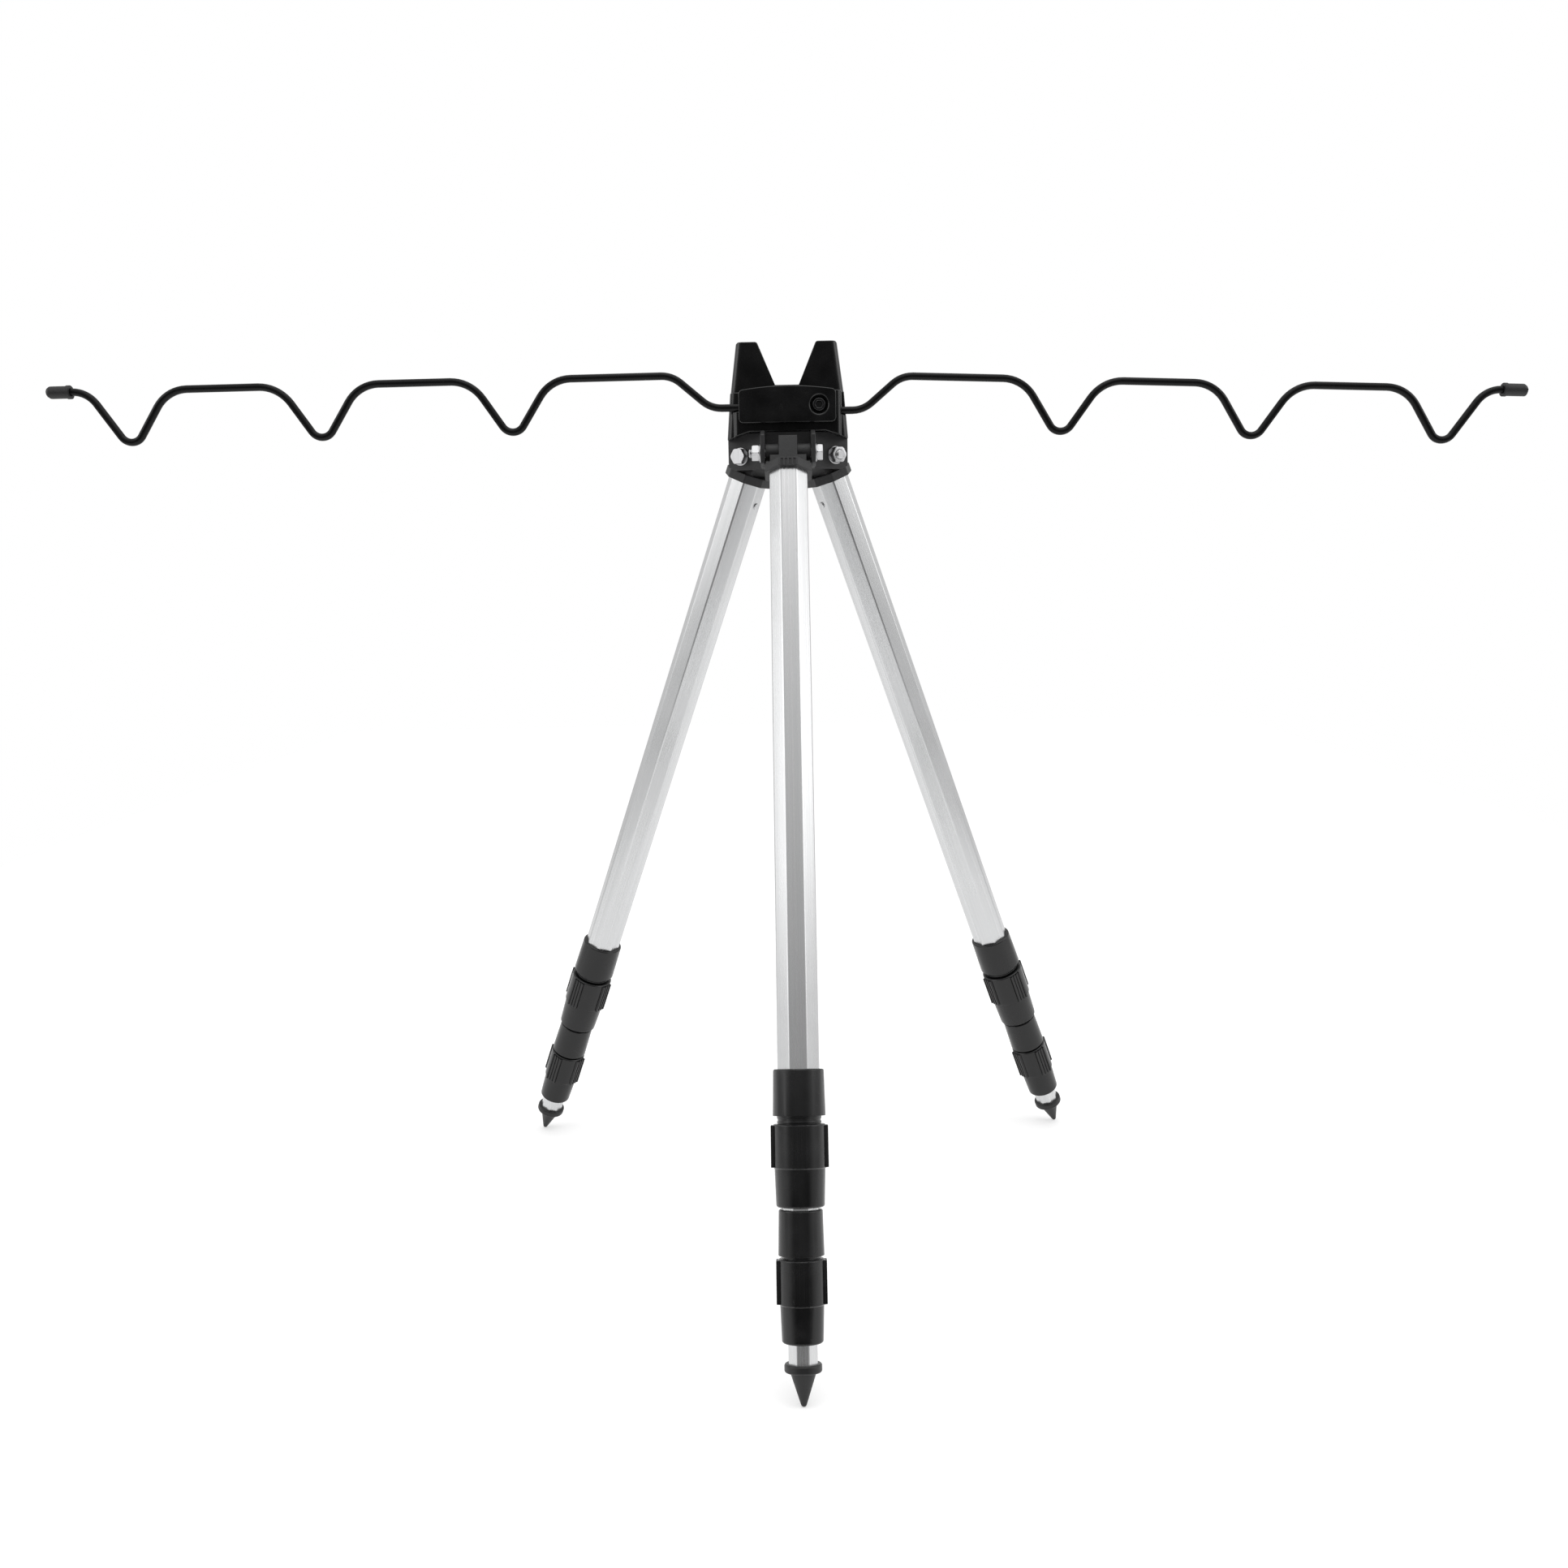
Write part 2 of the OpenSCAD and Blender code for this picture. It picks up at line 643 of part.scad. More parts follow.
module leg_plug(i) {
    ridge = tongue_w / 9;
    color("#262626") at_leg(i) difference() {
        union() {
            y_bar(barrel_r, -barrel_w / 2, barrel_w / 2);
            upright(-tongue_w / 2, tongue_w / 2) polygon([[-tongue_r, -flange_drop - 1], [tongue_r, -flange_drop - 1],
                [tongue_r, tongue_r], [-tongue_r / 2, tongue_r], [-tongue_r, tongue_r / 2]]);
            translate([-tongue_r, -barrel_w * 0.4, -flange_drop - 1])
                cube([2 * tongue_r, barrel_w * 0.8, flange_drop - tongue_r / 2]);
            down(flange_drop) oct_bar(flange_af, flange_h);
            down(tube_top - eps) oct_bar(inner_of_upper - 2 * slide_clear, plug_len + eps);
        }
        y_bar(bolt_r + run_clear, -big, big);
        for (k = [-3:2:3]) translate([flange_af / 2 - 0.6, (k - 0.5) * ridge, -tube_top - eps])
            cube([1, ridge, flange_h - 1]);
        rivet_bar(rivet_r + run_clear, corner_r(inner_af) - 2, big);
    }
}

module upper_tube(i) {
    color("silver") at_leg(i) difference() {
        down(tube_top) oct_tube(upper_af, inner_of_upper, upper_show + socket_len);
        rivet_bar(rivet_r + run_clear, 0, big);
    }
}

module tube_rivet(i) {
    dome_r = rivet_r * 1.5;
    dome_h = rivet_r * 0.6;
    color("gainsboro") at_leg(i) {
        rivet_bar(rivet_r, corner_r(inner_af) - 1.8, upper_af / 2 + dome_h);
        rivet_bar(dome_r, upper_af / 2, upper_af / 2 + dome_h);
    }
}

// Collar on the lower end of a tube: octagonal socket above, threaded neck below
module lock_collar(tube_af, slider_af, len, open) {
    neck_bore = corner_r(slider_af) + bore_clear;
    outer = corner_r(tube_af) + run_clear + collar_wall;
    neck_len = open + thread_len;
    groove = 0.4;
    pitch = 2.5;
    difference() {
        rotate_extrude() difference() {
            polygon([[0, 0], [outer - 0.6, 0], [outer, -0.6], [outer + collar_flare, -len], [neck_bore + neck_wall, -len],
                [neck_bore + neck_wall, -len - neck_len], [0, -len - neck_len]]);
            for (z = [len + open / 2:pitch:len + neck_len - 1])
                translate([neck_bore + neck_wall - groove, -z - pitch / 4]) square([1, pitch / 2]);
        }
        translate([0, 0, eps]) oct_bar(tube_af + 2 * run_clear, socket_len + eps);
        down(len + neck_len + eps) cylinder(r = neck_bore, h = big);
    }
}

// Ribbed lock nut with its plain sleeve, hanging down from z = 0
module lock_nut(slider_af, open, sleeve_len) {
    thread_r = corner_r(slider_af) + bore_clear + neck_wall + run_clear;
    body_r = thread_r + nut_wall;
    chamber_r = corner_r(slider_af) + slide_clear + collet_wall + face_clear;
    mouth_r = corner_r(slider_af) + bore_clear;
    low_r = chamber_r + sleeve_wall;
    thread_room = thread_len + open + face_clear;
    total = nut_len + sleeve_len;
    rib_w = pad_w / (2 * pad_ribs - 1);
    edge = 0.8;
    difference() {
        union() {
            rotate_extrude() difference() {
                polygon([[0, 0], [body_r - edge, 0], [body_r, -edge], [body_r, -nut_len + edge],
                    [body_r - edge, -nut_len], [low_r, -total + edge], [low_r - edge, -total], [0, -total]]);
            }
            for (turn = [0:3]) rotate(turn * 90) {
                translate([0, -pad_w / 2, -nut_len + edge]) cube([body_r + pad_h / 2, pad_w, nut_len - 2 * edge]);
                for (k = [0:pad_ribs - 1]) translate([0, -pad_w / 2 + 2 * k * rib_w, -nut_len + edge])
                    cube([body_r + pad_h, rib_w, nut_len - 2 * edge]);
            }
        }
        down(thread_room) cylinder(r = thread_r, h = big);
        down(total - lip_h) cylinder(r = chamber_r, h = total);
        down(total + eps) cylinder(r = mouth_r, h = big);
    }
}

// Split collet that the nut pushes up against the neck; its foot runs on the nut's lip
module lock_collet(slider_af, open, sleeve_len) {
    inside_af = slider_af + 2 * slide_clear;
    outer = corner_r(inside_af) + collet_wall;
    height = nut_len + sleeve_len - lip_h - run_clear - thread_len - (open - nut_tight_gap) - face_clear;
    slit = 1.2;
    difference() {
        rotate_extrude() polygon([[0, 0], [outer, 0], [outer, height - 2], [outer - 0.4, height], [0, height]]);
        translate([0, 0, height + eps]) oct_bar(inside_af, height + 2 * eps);
        for (turn = [0:3]) rotate(turn * 90) translate([0, -slit / 2, height / 3]) cube([big, slit, big]);
    }
}

module upper_collar(i) {
    color("#1e1e1e") at_leg(i) down(upper_collar_top)
        lock_collar(upper_af, middle_af, upper_collar_len, upper_nut_open);
}

module upper_nut(i) { color("#232323") at_leg(i) down(upper_nut_top) lock_nut(middle_af, upper_nut_open, upper_sleeve_len); }

module upper_collet(i) {
    color("#d8d4c8") at_leg(i) down(upper_nut_low - lip_h - run_clear)
        lock_collet(middle_af, upper_nut_open, upper_sleeve_len);
}

module middle_guide(i) {
    color("#d8d4c8") at_leg(i) down(middle_top)
        oct_tube(inner_of_upper - 2 * slide_clear, middle_af + 2 * run_clear, guide_len);
}

module middle_tube(i) {
    color("silver") at_leg(i) down(middle_top)
        oct_tube(middle_af, inner_of_middle, lower_collar_top + socket_len - middle_top);
}

module middle_collar(i) {
    color("#1e1e1e") at_leg(i) down(lower_collar_top)
        lock_collar(middle_af, inner_af, lower_collar_len, lower_nut_open);
}

module lower_nut(i) { color("#232323") at_leg(i) down(lower_nut_top) lock_nut(inner_af, lower_nut_open, lower_sleeve_len); }

module lower_collet(i) {
    color("#d8d4c8") at_leg(i) down(lower_nut_low - lip_h - run_clear)
        lock_collet(inner_af, lower_nut_open, lower_sleeve_len);
}

module inner_guide(i) {
    color("#d8d4c8") at_leg(i) down(inner_top)
        oct_tube(inner_of_middle - 2 * slide_clear, inner_af + 2 * run_clear, guide_len);
}

module inner_tube(i) {
    color("silver") at_leg(i) down(inner_top) oct_tube(inner_af, inner_af - 2 * tube_wall, foot_top - inner_top);
}

module foot_spike(i) {
    round = 0.7;
    taper = atan((spike_r - tip_r) / spike_h);
    touch = tip_r * (1 - sin(taper));
    color("#1a1a1a") at_leg(i) down(foot_top) {
        rotate_extrude() {
            polygon([[0, 0], [foot_r - round, 0], [foot_r, -round], [foot_r, -foot_flange_h + round],
                [foot_r - round, -foot_flange_h], [spike_r, -foot_flange_h],
                [tip_r * cos(taper), -foot_flange_h - spike_h + touch], [0, -foot_flange_h - spike_h + touch]]);
            intersection() {
                translate([0, -foot_flange_h - spike_h + tip_r]) circle(tip_r);
                translate([0, -big]) square(big);
            }
        }
        translate([0, 0, foot_plug_len]) oct_bar(inner_af - 2 * tube_wall - 2 * slide_clear, foot_plug_len + eps);
    }
}

// The pieces

leg_base();
fork_body();
front_jaw();
front_clamp_plate();
rear_clamp_plate();
clamp_screws();
clamp_nuts();
head_bolt();
head_insert();
hinge_bolts();
hinge_nuts();
hinge_washers();
left_arm_wire();
left_arm_cap();
right_arm_wire();
right_arm_cap();
for (i = [0:2]) {
    leg_plug(i);
    upper_tube(i);
    tube_rivet(i);
    upper_collar(i);
    upper_collet(i);
    upper_nut(i);
    middle_guide(i);
    middle_tube(i);
    middle_collar(i);
    lower_collet(i);
    lower_nut(i);
    inner_guide(i);
    inner_tube(i);
    foot_spike(i);
}
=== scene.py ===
"""Looks of a telescopic rod pod: finishes, softened mouldings, fasteners, studio and camera.

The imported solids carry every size. This script copies the visible ones with rounded edges, models the
hinges' fasteners afresh, gives each piece its finish and sets the studio of the photograph.
"""

from __future__ import annotations

import json
import logging
import math
from collections.abc import Callable, Iterable
from dataclasses import dataclass, field
from enum import Enum
from typing import Any

import bmesh
import bpy
from mathutils import Matrix, Vector
from mathutils.geometry import intersect_point_line

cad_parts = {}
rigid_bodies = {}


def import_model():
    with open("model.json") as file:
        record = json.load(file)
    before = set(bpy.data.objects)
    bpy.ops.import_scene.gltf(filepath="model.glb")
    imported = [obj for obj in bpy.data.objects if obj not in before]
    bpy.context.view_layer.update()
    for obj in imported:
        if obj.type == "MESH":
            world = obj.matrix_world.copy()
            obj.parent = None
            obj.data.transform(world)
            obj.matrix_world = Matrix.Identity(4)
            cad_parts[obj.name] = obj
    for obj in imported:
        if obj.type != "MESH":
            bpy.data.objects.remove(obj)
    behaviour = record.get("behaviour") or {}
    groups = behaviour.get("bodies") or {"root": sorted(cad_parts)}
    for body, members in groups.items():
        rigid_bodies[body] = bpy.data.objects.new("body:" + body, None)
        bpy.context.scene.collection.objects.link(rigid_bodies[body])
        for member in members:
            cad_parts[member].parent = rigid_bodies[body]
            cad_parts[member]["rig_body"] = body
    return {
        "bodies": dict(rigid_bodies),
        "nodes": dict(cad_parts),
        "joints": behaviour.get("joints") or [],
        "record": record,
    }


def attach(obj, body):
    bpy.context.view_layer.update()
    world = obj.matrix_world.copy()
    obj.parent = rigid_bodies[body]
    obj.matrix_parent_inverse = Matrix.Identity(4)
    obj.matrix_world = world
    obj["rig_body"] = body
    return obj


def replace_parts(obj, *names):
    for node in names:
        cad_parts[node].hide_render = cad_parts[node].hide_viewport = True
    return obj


LOG = logging.getLogger("rod_pod")
MM = 0.001
IMAGE_SIDE = 1932
Colour = tuple[float, float, float]
Point = tuple[float, float, float]
Span = tuple[float, float]
UNIT: Span = (0.0, 1.0)
MID_NOISE: Span = (0.3, 0.7)
WELD = 0.002 * MM
AXIS_WELD = 0.0001 * MM
FLAT_DEGREES = 0.4
SHARP_DEGREES = 32.0
PARALLEL = 0.999


class Leg(Enum):
    """The three legs, by the first word of their nodes' names."""

    FRONT = "front"
    LEFT = "left"
    RIGHT = "right"


class Side(Enum):
    """The two wire arms, by the first word of their nodes' names."""

    LEFT = "left"
    RIGHT = "right"


class Lock(Enum):
    """The two twist locks of a leg, by their place in its nodes' names."""

    UPPER = "upper"
    LOWER = "lower"


# Node trees


@dataclass
class Shading:
    """A node tree with short ways to add and join its nodes.

    Attributes:
        tree: The tree that is being filled.
    """

    tree: bpy.types.NodeTree

    def add(self, kind: str, inputs: dict[str | int, Any] | None = None, **settings: Any) -> bpy.types.Node:
        """Adds a node.

        Args:
            kind: The node's type name.
            inputs: Values, or sockets to join, by input name or place.
            settings: Properties of the node.

        Returns:
            The new node.
        """
        node = self.tree.nodes.new(kind)
        for name, value in settings.items():
            setattr(node, name, value)
        for key, value in (inputs or {}).items():
            if isinstance(value, bpy.types.NodeSocket):
                self.tree.links.new(value, node.inputs[key])
            else:
                node.inputs[key].default_value = value
        return node

    def math(self, operation: str, first: Any, second: Any = 0.0) -> bpy.types.NodeSocket:
        """Adds a Math node.

        Args:
            operation: The node's operation.
            first: Value or socket.
            second: Value or socket.

        Returns:
            The result's socket.
        """
        return self.add("ShaderNodeMath", {0: first, 1: second}, operation=operation).outputs[0]

    def remap(self, value: bpy.types.NodeSocket, source: tuple[float, float], target: tuple[float, float],
              smooth: bool = False) -> bpy.types.NodeSocket:
        """Carries a value from one range to another, clamped.

        Args:
            value: The value's socket.
            source: Its range.
            target: The range to carry it to.
            smooth: Whether the change eases in and out.

        Returns:
            The result's socket.
        """
        kind = "SMOOTHSTEP" if smooth else "LINEAR"
        keys = ("From Min", "From Max", "To Min", "To Max")
        return self.add("ShaderNodeMapRange", {"Value": value, **dict(zip(keys, (*source, *target)))},
                        interpolation_type=kind).outputs[0]

    def blend(self, share: Any, first: Any, second: Any) -> bpy.types.NodeSocket:
        """Mixes two colours.

        Args:
            share: Share of the second colour.
            first: Colour or socket.
            second: Colour or socket.

        Returns:
            The mixed colour's socket.
        """
        node = self.add("ShaderNodeMix", data_type="RGBA")
        for socket, value in ((node.inputs[0], share), (node.inputs[6], first), (node.inputs[7], second)):
            if isinstance(value, bpy.types.NodeSocket):
                self.tree.links.new(value, socket)
            else:
                socket.default_value = (*value, 1.0) if isinstance(value, tuple) else value
        return node.outputs[2]


class SharedEffects:
    """Shader node groups that several finishes place with their own values."""

    def __init__(self) -> None:
        """Starts with no groups built."""
        self._built: dict[str, bpy.types.NodeTree] = {}

    def _group(self, name: str, inputs: dict[str, float], outputs: Iterable[str],
               fill: Callable[[Shading, bpy.types.Node, bpy.types.Node], None]) -> bpy.types.NodeTree:
        """Builds a group once.

        Args:
            name: The group's name.
            inputs: Its values and their defaults; Vector is added to them.
            outputs: Names of its outputs.
            fill: What fills it, given its shading and its two end nodes.

        Returns:
            The group's tree.
        """
        if name not in self._built:
            tree = bpy.data.node_groups.new(name, "ShaderNodeTree")
            tree.interface.new_socket("Vector", in_out="INPUT", socket_type="NodeSocketVector")
            for key, value in inputs.items():
                socket = tree.interface.new_socket(key, in_out="INPUT", socket_type="NodeSocketFloat")
                socket.default_value = value
            for key in outputs:
                tree.interface.new_socket(key, in_out="OUTPUT", socket_type="NodeSocketFloat")
            shading = Shading(tree)
            fill(shading, shading.add("NodeGroupInput"), shading.add("NodeGroupOutput"))
            self._built[name] = tree
        return self._built[name]

    def grain(self) -> bpy.types.NodeTree:
        """Fine moulded grain: a height, and soft blotches for colour and gloss."""

        def fill(shading: Shading, start: bpy.types.Node, end: bpy.types.Node) -> None:
            """Fills the group from its start node to its end node."""
            fine = shading.add("ShaderNodeTexNoise", {
                "Vector": start.outputs["Vector"], "Scale": start.outputs["Scale"],
                "Detail": 3.0, "Roughness": 0.6})
            cells = shading.add("ShaderNodeTexVoronoi", {
                "Vector": start.outputs["Vector"],
                "Scale": shading.math("MULTIPLY", start.outputs["Scale"], 0.8)}, feature="SMOOTH_F1")
            pits = shading.math("MULTIPLY", cells.outputs["Distance"], 0.5)
            height = shading.math("ADD", fine.outputs[0], pits)
            blotch = shading.add("ShaderNodeTexNoise", {
                "Vector": start.outputs["Vector"], "Scale": start.outputs["Blotch Scale"], "Detail": 4.0})
            shading.tree.links.new(height, end.inputs["Height"])
            soft = shading.remap(blotch.outputs[0], MID_NOISE, UNIT, True)
            shading.tree.links.new(soft, end.inputs["Blotch"])

        values = {"Scale": 2200.0, "Blotch Scale": 60.0}
        return self._group("moulded_grain", values, ("Height", "Blotch"), fill)

    def drawn_lines(self) -> bpy.types.NodeTree:
        """Die lines of drawn or brushed metal, along the vector's Z."""

        def fill(shading: Shading, start: bpy.types.Node, end: bpy.types.Node) -> None:
            """Fills the group from its start node to its end node."""
            levels = []
            for across, along in ((900.0, 1.2), (2600.0, 5.0)):
                stretched = shading.add("ShaderNodeVectorMath", {
                    0: start.outputs["Vector"], 1: (across, across, along)}, operation="MULTIPLY")
                noise = shading.add("ShaderNodeTexNoise", {
                    "Vector": stretched.outputs[0], "Scale": 1.0, "Detail": 2.0, "Roughness": 0.55})
                levels.append(noise.outputs[0])
            both = shading.math("MULTIPLY", shading.math("ADD", *levels), 0.5)
            lines = shading.remap(both, (0.34, 0.66), UNIT)
            shading.tree.links.new(lines, end.inputs["Lines"])
            haze = shading.add("ShaderNodeTexNoise", {
                "Vector": start.outputs["Vector"], "Scale": 22.0, "Detail": 3.0})
            soft = shading.remap(haze.outputs[0], MID_NOISE, UNIT, True)
            shading.tree.links.new(soft, end.inputs["Haze"])

        return self._group("drawn_lines", {}, ("Lines", "Haze"), fill)

    def scuffs(self) -> bpy.types.NodeTree:
        """Sparse handling marks: a mask that is mostly zero."""

        def fill(shading: Shading, start: bpy.types.Node, end: bpy.types.Node) -> None:
            """Fills the group from its start node to its end node."""
            wide = shading.add("ShaderNodeTexNoise", {
                "Vector": start.outputs["Vector"], "Scale": start.outputs["Scale"],
                "Detail": 5.0, "Roughness": 0.65, "Distortion": 0.8})
            mask = shading.remap(wide.outputs[0], (0.60, 0.78), UNIT, True)
            shading.tree.links.new(mask, end.inputs["Mask"])

        return self._group("handling_scuffs", {"Scale": 240.0}, ("Mask",), fill)


EFFECTS = SharedEffects()


# Finishes


@dataclass(frozen=True)
class Finish:
    """A surface finish, built once as a material.

    Attributes:
        name: The material's name.
        slot: The record's slot that the finish belongs to; not used.
        colour: Main colour, linear.
        roughness: Mean roughness.
    """

    name: str
    slot: str
    colour: Colour
    roughness: float

    def material(self) -> bpy.types.Material:
        """Gives the finish's material, building it at first use.

        Returns:
            The material.
        """
        known = bpy.data.materials.get(self.name)
        if known is not None:
            return known
        made = bpy.data.materials.new(self.name)
        made.use_nodes = True
        made.diffuse_color = (*self.colour, 1.0)
        shading = Shading(made.node_tree)
        surface = made.node_tree.nodes["Principled BSDF"]
        place = shading.add("ShaderNodeTexCoord").outputs["Object"]
        self.dress(shading, surface, place)
        return made

    def dress(self, shading: Shading, surface: bpy.types.Node, place: bpy.types.NodeSocket) -> None:
        """Fills the material.

        Args:
            shading: The material's node tree.
            surface: Its Principled shader.
            place: Object coordinates.
        """
        raise NotImplementedError

    def shades(self, low: float, high: float) -> tuple[Colour, Colour]:
        """Gives a darker and a lighter tone of the main colour, by factors."""
        return tuple(c * low for c in self.colour), tuple(c * high for c in self.colour)

    def roughnesses(self, change: Span) -> Span:
        """Gives the mean roughness changed by each of two amounts."""
        return self.roughness + change[0], self.roughness + change[1]

    @staticmethod
    def bump(shading: Shading, surface: bpy.types.Node, height: bpy.types.NodeSocket, depth: float) -> None:
        """Joins a height to the surface's normal.

        Args:
            shading: The material's node tree.
            surface: Its Principled shader.
            height: The height's socket.
            depth: Distance in metres that a height of 1 stands for.
        """
        node = shading.add("ShaderNodeBump", {"Height": height, "Distance": depth, "Strength": 1.0})
        shading.tree.links.new(node.outputs[0], surface.inputs["Normal"])


@dataclass(frozen=True)
class MouldedPlastic(Finish):
    """Moulded plastic with a fine grain, soft blotches of gloss and a few pale scuffs.

    Attributes:
        grain: Grains in a metre.
        depth: Depth of the grain in metres.
        scuff: Share of the pale scuffs.
        tones: Factors of the blotches' darker and lighter colours.
        pale: Factor and addition that give the scuffs' colour.
        gloss: Changes of roughness at the darker and the lighter blotches.
        dulling: Roughness that a scuff adds.
    """

    grain: float = 2200.0
    depth: float = 0.00003
    scuff: float = 0.25
    tones: Span = (0.75, 1.3)
    pale: Span = (2.2, 0.012)
    gloss: Span = (-0.05, 0.06)
    dulling: float = 0.12

    def dress(self, shading: Shading, surface: bpy.types.Node, place: bpy.types.NodeSocket) -> None:
        """Fills the material: grain on the normal, blotches on colour and gloss."""
        grain = shading.add("ShaderNodeGroup", node_tree=EFFECTS.grain())
        shading.tree.links.new(place, grain.inputs["Vector"])
        grain.inputs["Scale"].default_value = self.grain
        scuffs = shading.add("ShaderNodeGroup", node_tree=EFFECTS.scuffs())
        shading.tree.links.new(place, scuffs.inputs["Vector"])
        dark, light = self.shades(*self.tones)
        base = shading.blend(grain.outputs["Blotch"], dark, light)
        pale = tuple(min(1.0, c * self.pale[0] + self.pale[1]) for c in self.colour)
        worn = shading.math("MULTIPLY", scuffs.outputs["Mask"], self.scuff)
        shading.tree.links.new(shading.blend(worn, base, pale), surface.inputs["Base Color"])
        gloss = shading.remap(grain.outputs["Blotch"], UNIT, self.roughnesses(self.gloss))
        dull = shading.math("ADD", gloss, shading.math("MULTIPLY", scuffs.outputs["Mask"], self.dulling))
        shading.tree.links.new(dull, surface.inputs["Roughness"])
        self.bump(shading, surface, grain.outputs["Height"], self.depth)


@dataclass(frozen=True)
class DrawnMetal(Finish):
    """Bare metal with drawing or brushing lines along one direction.

    Attributes:
        frame: Frame whose Z the lines follow, as rows of numbers.
        contrast: How far the lines darken the colour.
        depth: Depth of the lines in metres.
        lift: How far the lines lighten the colour, as a share of the contrast.
        haze: Share of the plain colour in the haze.
        gloss: Changes of roughness at the darker and the lighter lines.
        dulling: Roughness that the haze adds.
    """

    frame: tuple[tuple[float, ...], ...] = ((1, 0, 0, 0), (0, 1, 0, 0), (0, 0, 1, 0), (0, 0, 0, 1))
    contrast: float = 0.07
    depth: float = 0.000012
    lift: float = 0.6
    haze: float = 0.25
    gloss: Span = (0.05, -0.05)
    dulling: float = 0.05

    def dress(self, shading: Shading, surface: bpy.types.Node, place: bpy.types.NodeSocket) -> None:
        """Fills the material: lines on colour, gloss and normal, with a soft haze."""
        matrix = Matrix(self.frame)
        turned = shading.add("ShaderNodeMapping", {
            "Vector": place, "Location": matrix.to_translation(), "Rotation": matrix.to_euler()},
            vector_type="TEXTURE")
        lines = shading.add("ShaderNodeGroup", node_tree=EFFECTS.drawn_lines())
        shading.tree.links.new(turned.outputs[0], lines.inputs["Vector"])
        dark, light = self.shades(1.0 - self.contrast, 1.0 + self.contrast * self.lift)
        streaked = shading.blend(lines.outputs["Lines"], dark, tuple(min(1.0, c) for c in light))
        hazed = shading.blend(shading.math("MULTIPLY", lines.outputs["Haze"], self.haze), streaked, self.colour)
        shading.tree.links.new(hazed, surface.inputs["Base Color"])
        gloss = shading.remap(lines.outputs["Lines"], UNIT, self.roughnesses(self.gloss))
        dull = shading.math("ADD", gloss, shading.math("MULTIPLY", lines.outputs["Haze"], self.dulling))
        shading.tree.links.new(dull, surface.inputs["Roughness"])
        surface.inputs["Metallic"].default_value = 1.0
        self.bump(shading, surface, lines.outputs["Lines"], self.depth)


@dataclass(frozen=True)
class CoatedWire(Finish):
    """Powder coat on steel wire: a slight orange peel and pale rubbed spots.

    Attributes:
        peel: Bumps of the peel in a metre.
        depth: Depth of the peel in metres.
        tones: Factors of the peel's darker and lighter colours.
        spots: Rubbed spots in a metre.
        rub: Share of the rubbed spots.
        rubbed: Colour of the rubbed spots.
        gloss: Changes of roughness over the peel.
        mirror: Level of the coat's reflection.
    """

    peel: float = 900.0
    depth: float = 0.00002
    tones: Span = (0.85, 1.25)
    spots: float = 120.0
    rub: float = 0.3
    rubbed: Colour = (0.03, 0.03, 0.03)
    gloss: Span = (-0.04, 0.06)
    mirror: float = 0.2

    def dress(self, shading: Shading, surface: bpy.types.Node, place: bpy.types.NodeSocket) -> None:
        """Fills the material: peel on the normal, rubbed spots on colour and gloss."""
        peel = shading.add("ShaderNodeTexNoise", {"Vector": place, "Scale": self.peel, "Detail": 2.0})
        scuffs = shading.add("ShaderNodeGroup", node_tree=EFFECTS.scuffs())
        shading.tree.links.new(place, scuffs.inputs["Vector"])
        scuffs.inputs["Scale"].default_value = self.spots
        dark, light = self.shades(*self.tones)
        base = shading.blend(peel.outputs[0], dark, light)
        worn = shading.math("MULTIPLY", scuffs.outputs["Mask"], self.rub)
        shading.tree.links.new(shading.blend(worn, base, self.rubbed), surface.inputs["Base Color"])
        gloss = shading.remap(peel.outputs[0], MID_NOISE, self.roughnesses(self.gloss))
        shading.tree.links.new(gloss, surface.inputs["Roughness"])
        surface.inputs["Specular IOR Level"].default_value = self.mirror
        self.bump(shading, surface, peel.outputs[0], self.depth)


HORN_PLASTIC = MouldedPlastic(
    "satin_black_moulding", "gloss_black", (0.0066, 0.0066, 0.0068), 0.19,
    grain=1800.0, depth=0.000006, scuff=0.12)
BASE_PLASTIC = MouldedPlastic(
    "grained_black_moulding", "black_plastic", (0.028, 0.028, 0.029), 0.50,
    grain=1500.0, depth=0.00012, scuff=0.3)
LOCK_PLASTIC = MouldedPlastic(
    "lock_black_moulding", "black_plastic", (0.0052, 0.0052, 0.0055), 0.23,
    grain=2200.0, depth=0.00001, scuff=0.2)
FOOT_PLASTIC = MouldedPlastic(
    "foot_black_moulding", "black_plastic", (0.011, 0.011, 0.0115), 0.40,
    grain=2000.0, depth=0.00004, scuff=0.35)
CAP_RUBBER = MouldedPlastic(
    "soft_black_cap", "soft_cap", (0.018, 0.018, 0.019), 0.50,
    grain=1600.0, depth=0.00005, scuff=0.3)
NYLON = MouldedPlastic(
    "natural_nylon", "nylon", (0.78, 0.76, 0.70), 0.42,
    grain=1500.0, depth=0.00003, scuff=0.1)
WIRE_COAT = CoatedWire("black_wire_coat", "black_wire", (0.0062, 0.0062, 0.0065), 0.28)
ZINC = DrawnMetal("bright_zinc", "zinc_steel", (0.60, 0.60, 0.61), 0.28, contrast=0.06)
SCREW_STEEL = DrawnMetal("dark_screw_steel", "dark_steel", (0.09, 0.09, 0.092), 0.22, contrast=0.12)
BRASS = DrawnMetal("turned_brass", "brass_insert", (0.72, 0.53, 0.24), 0.3)


# Meshes


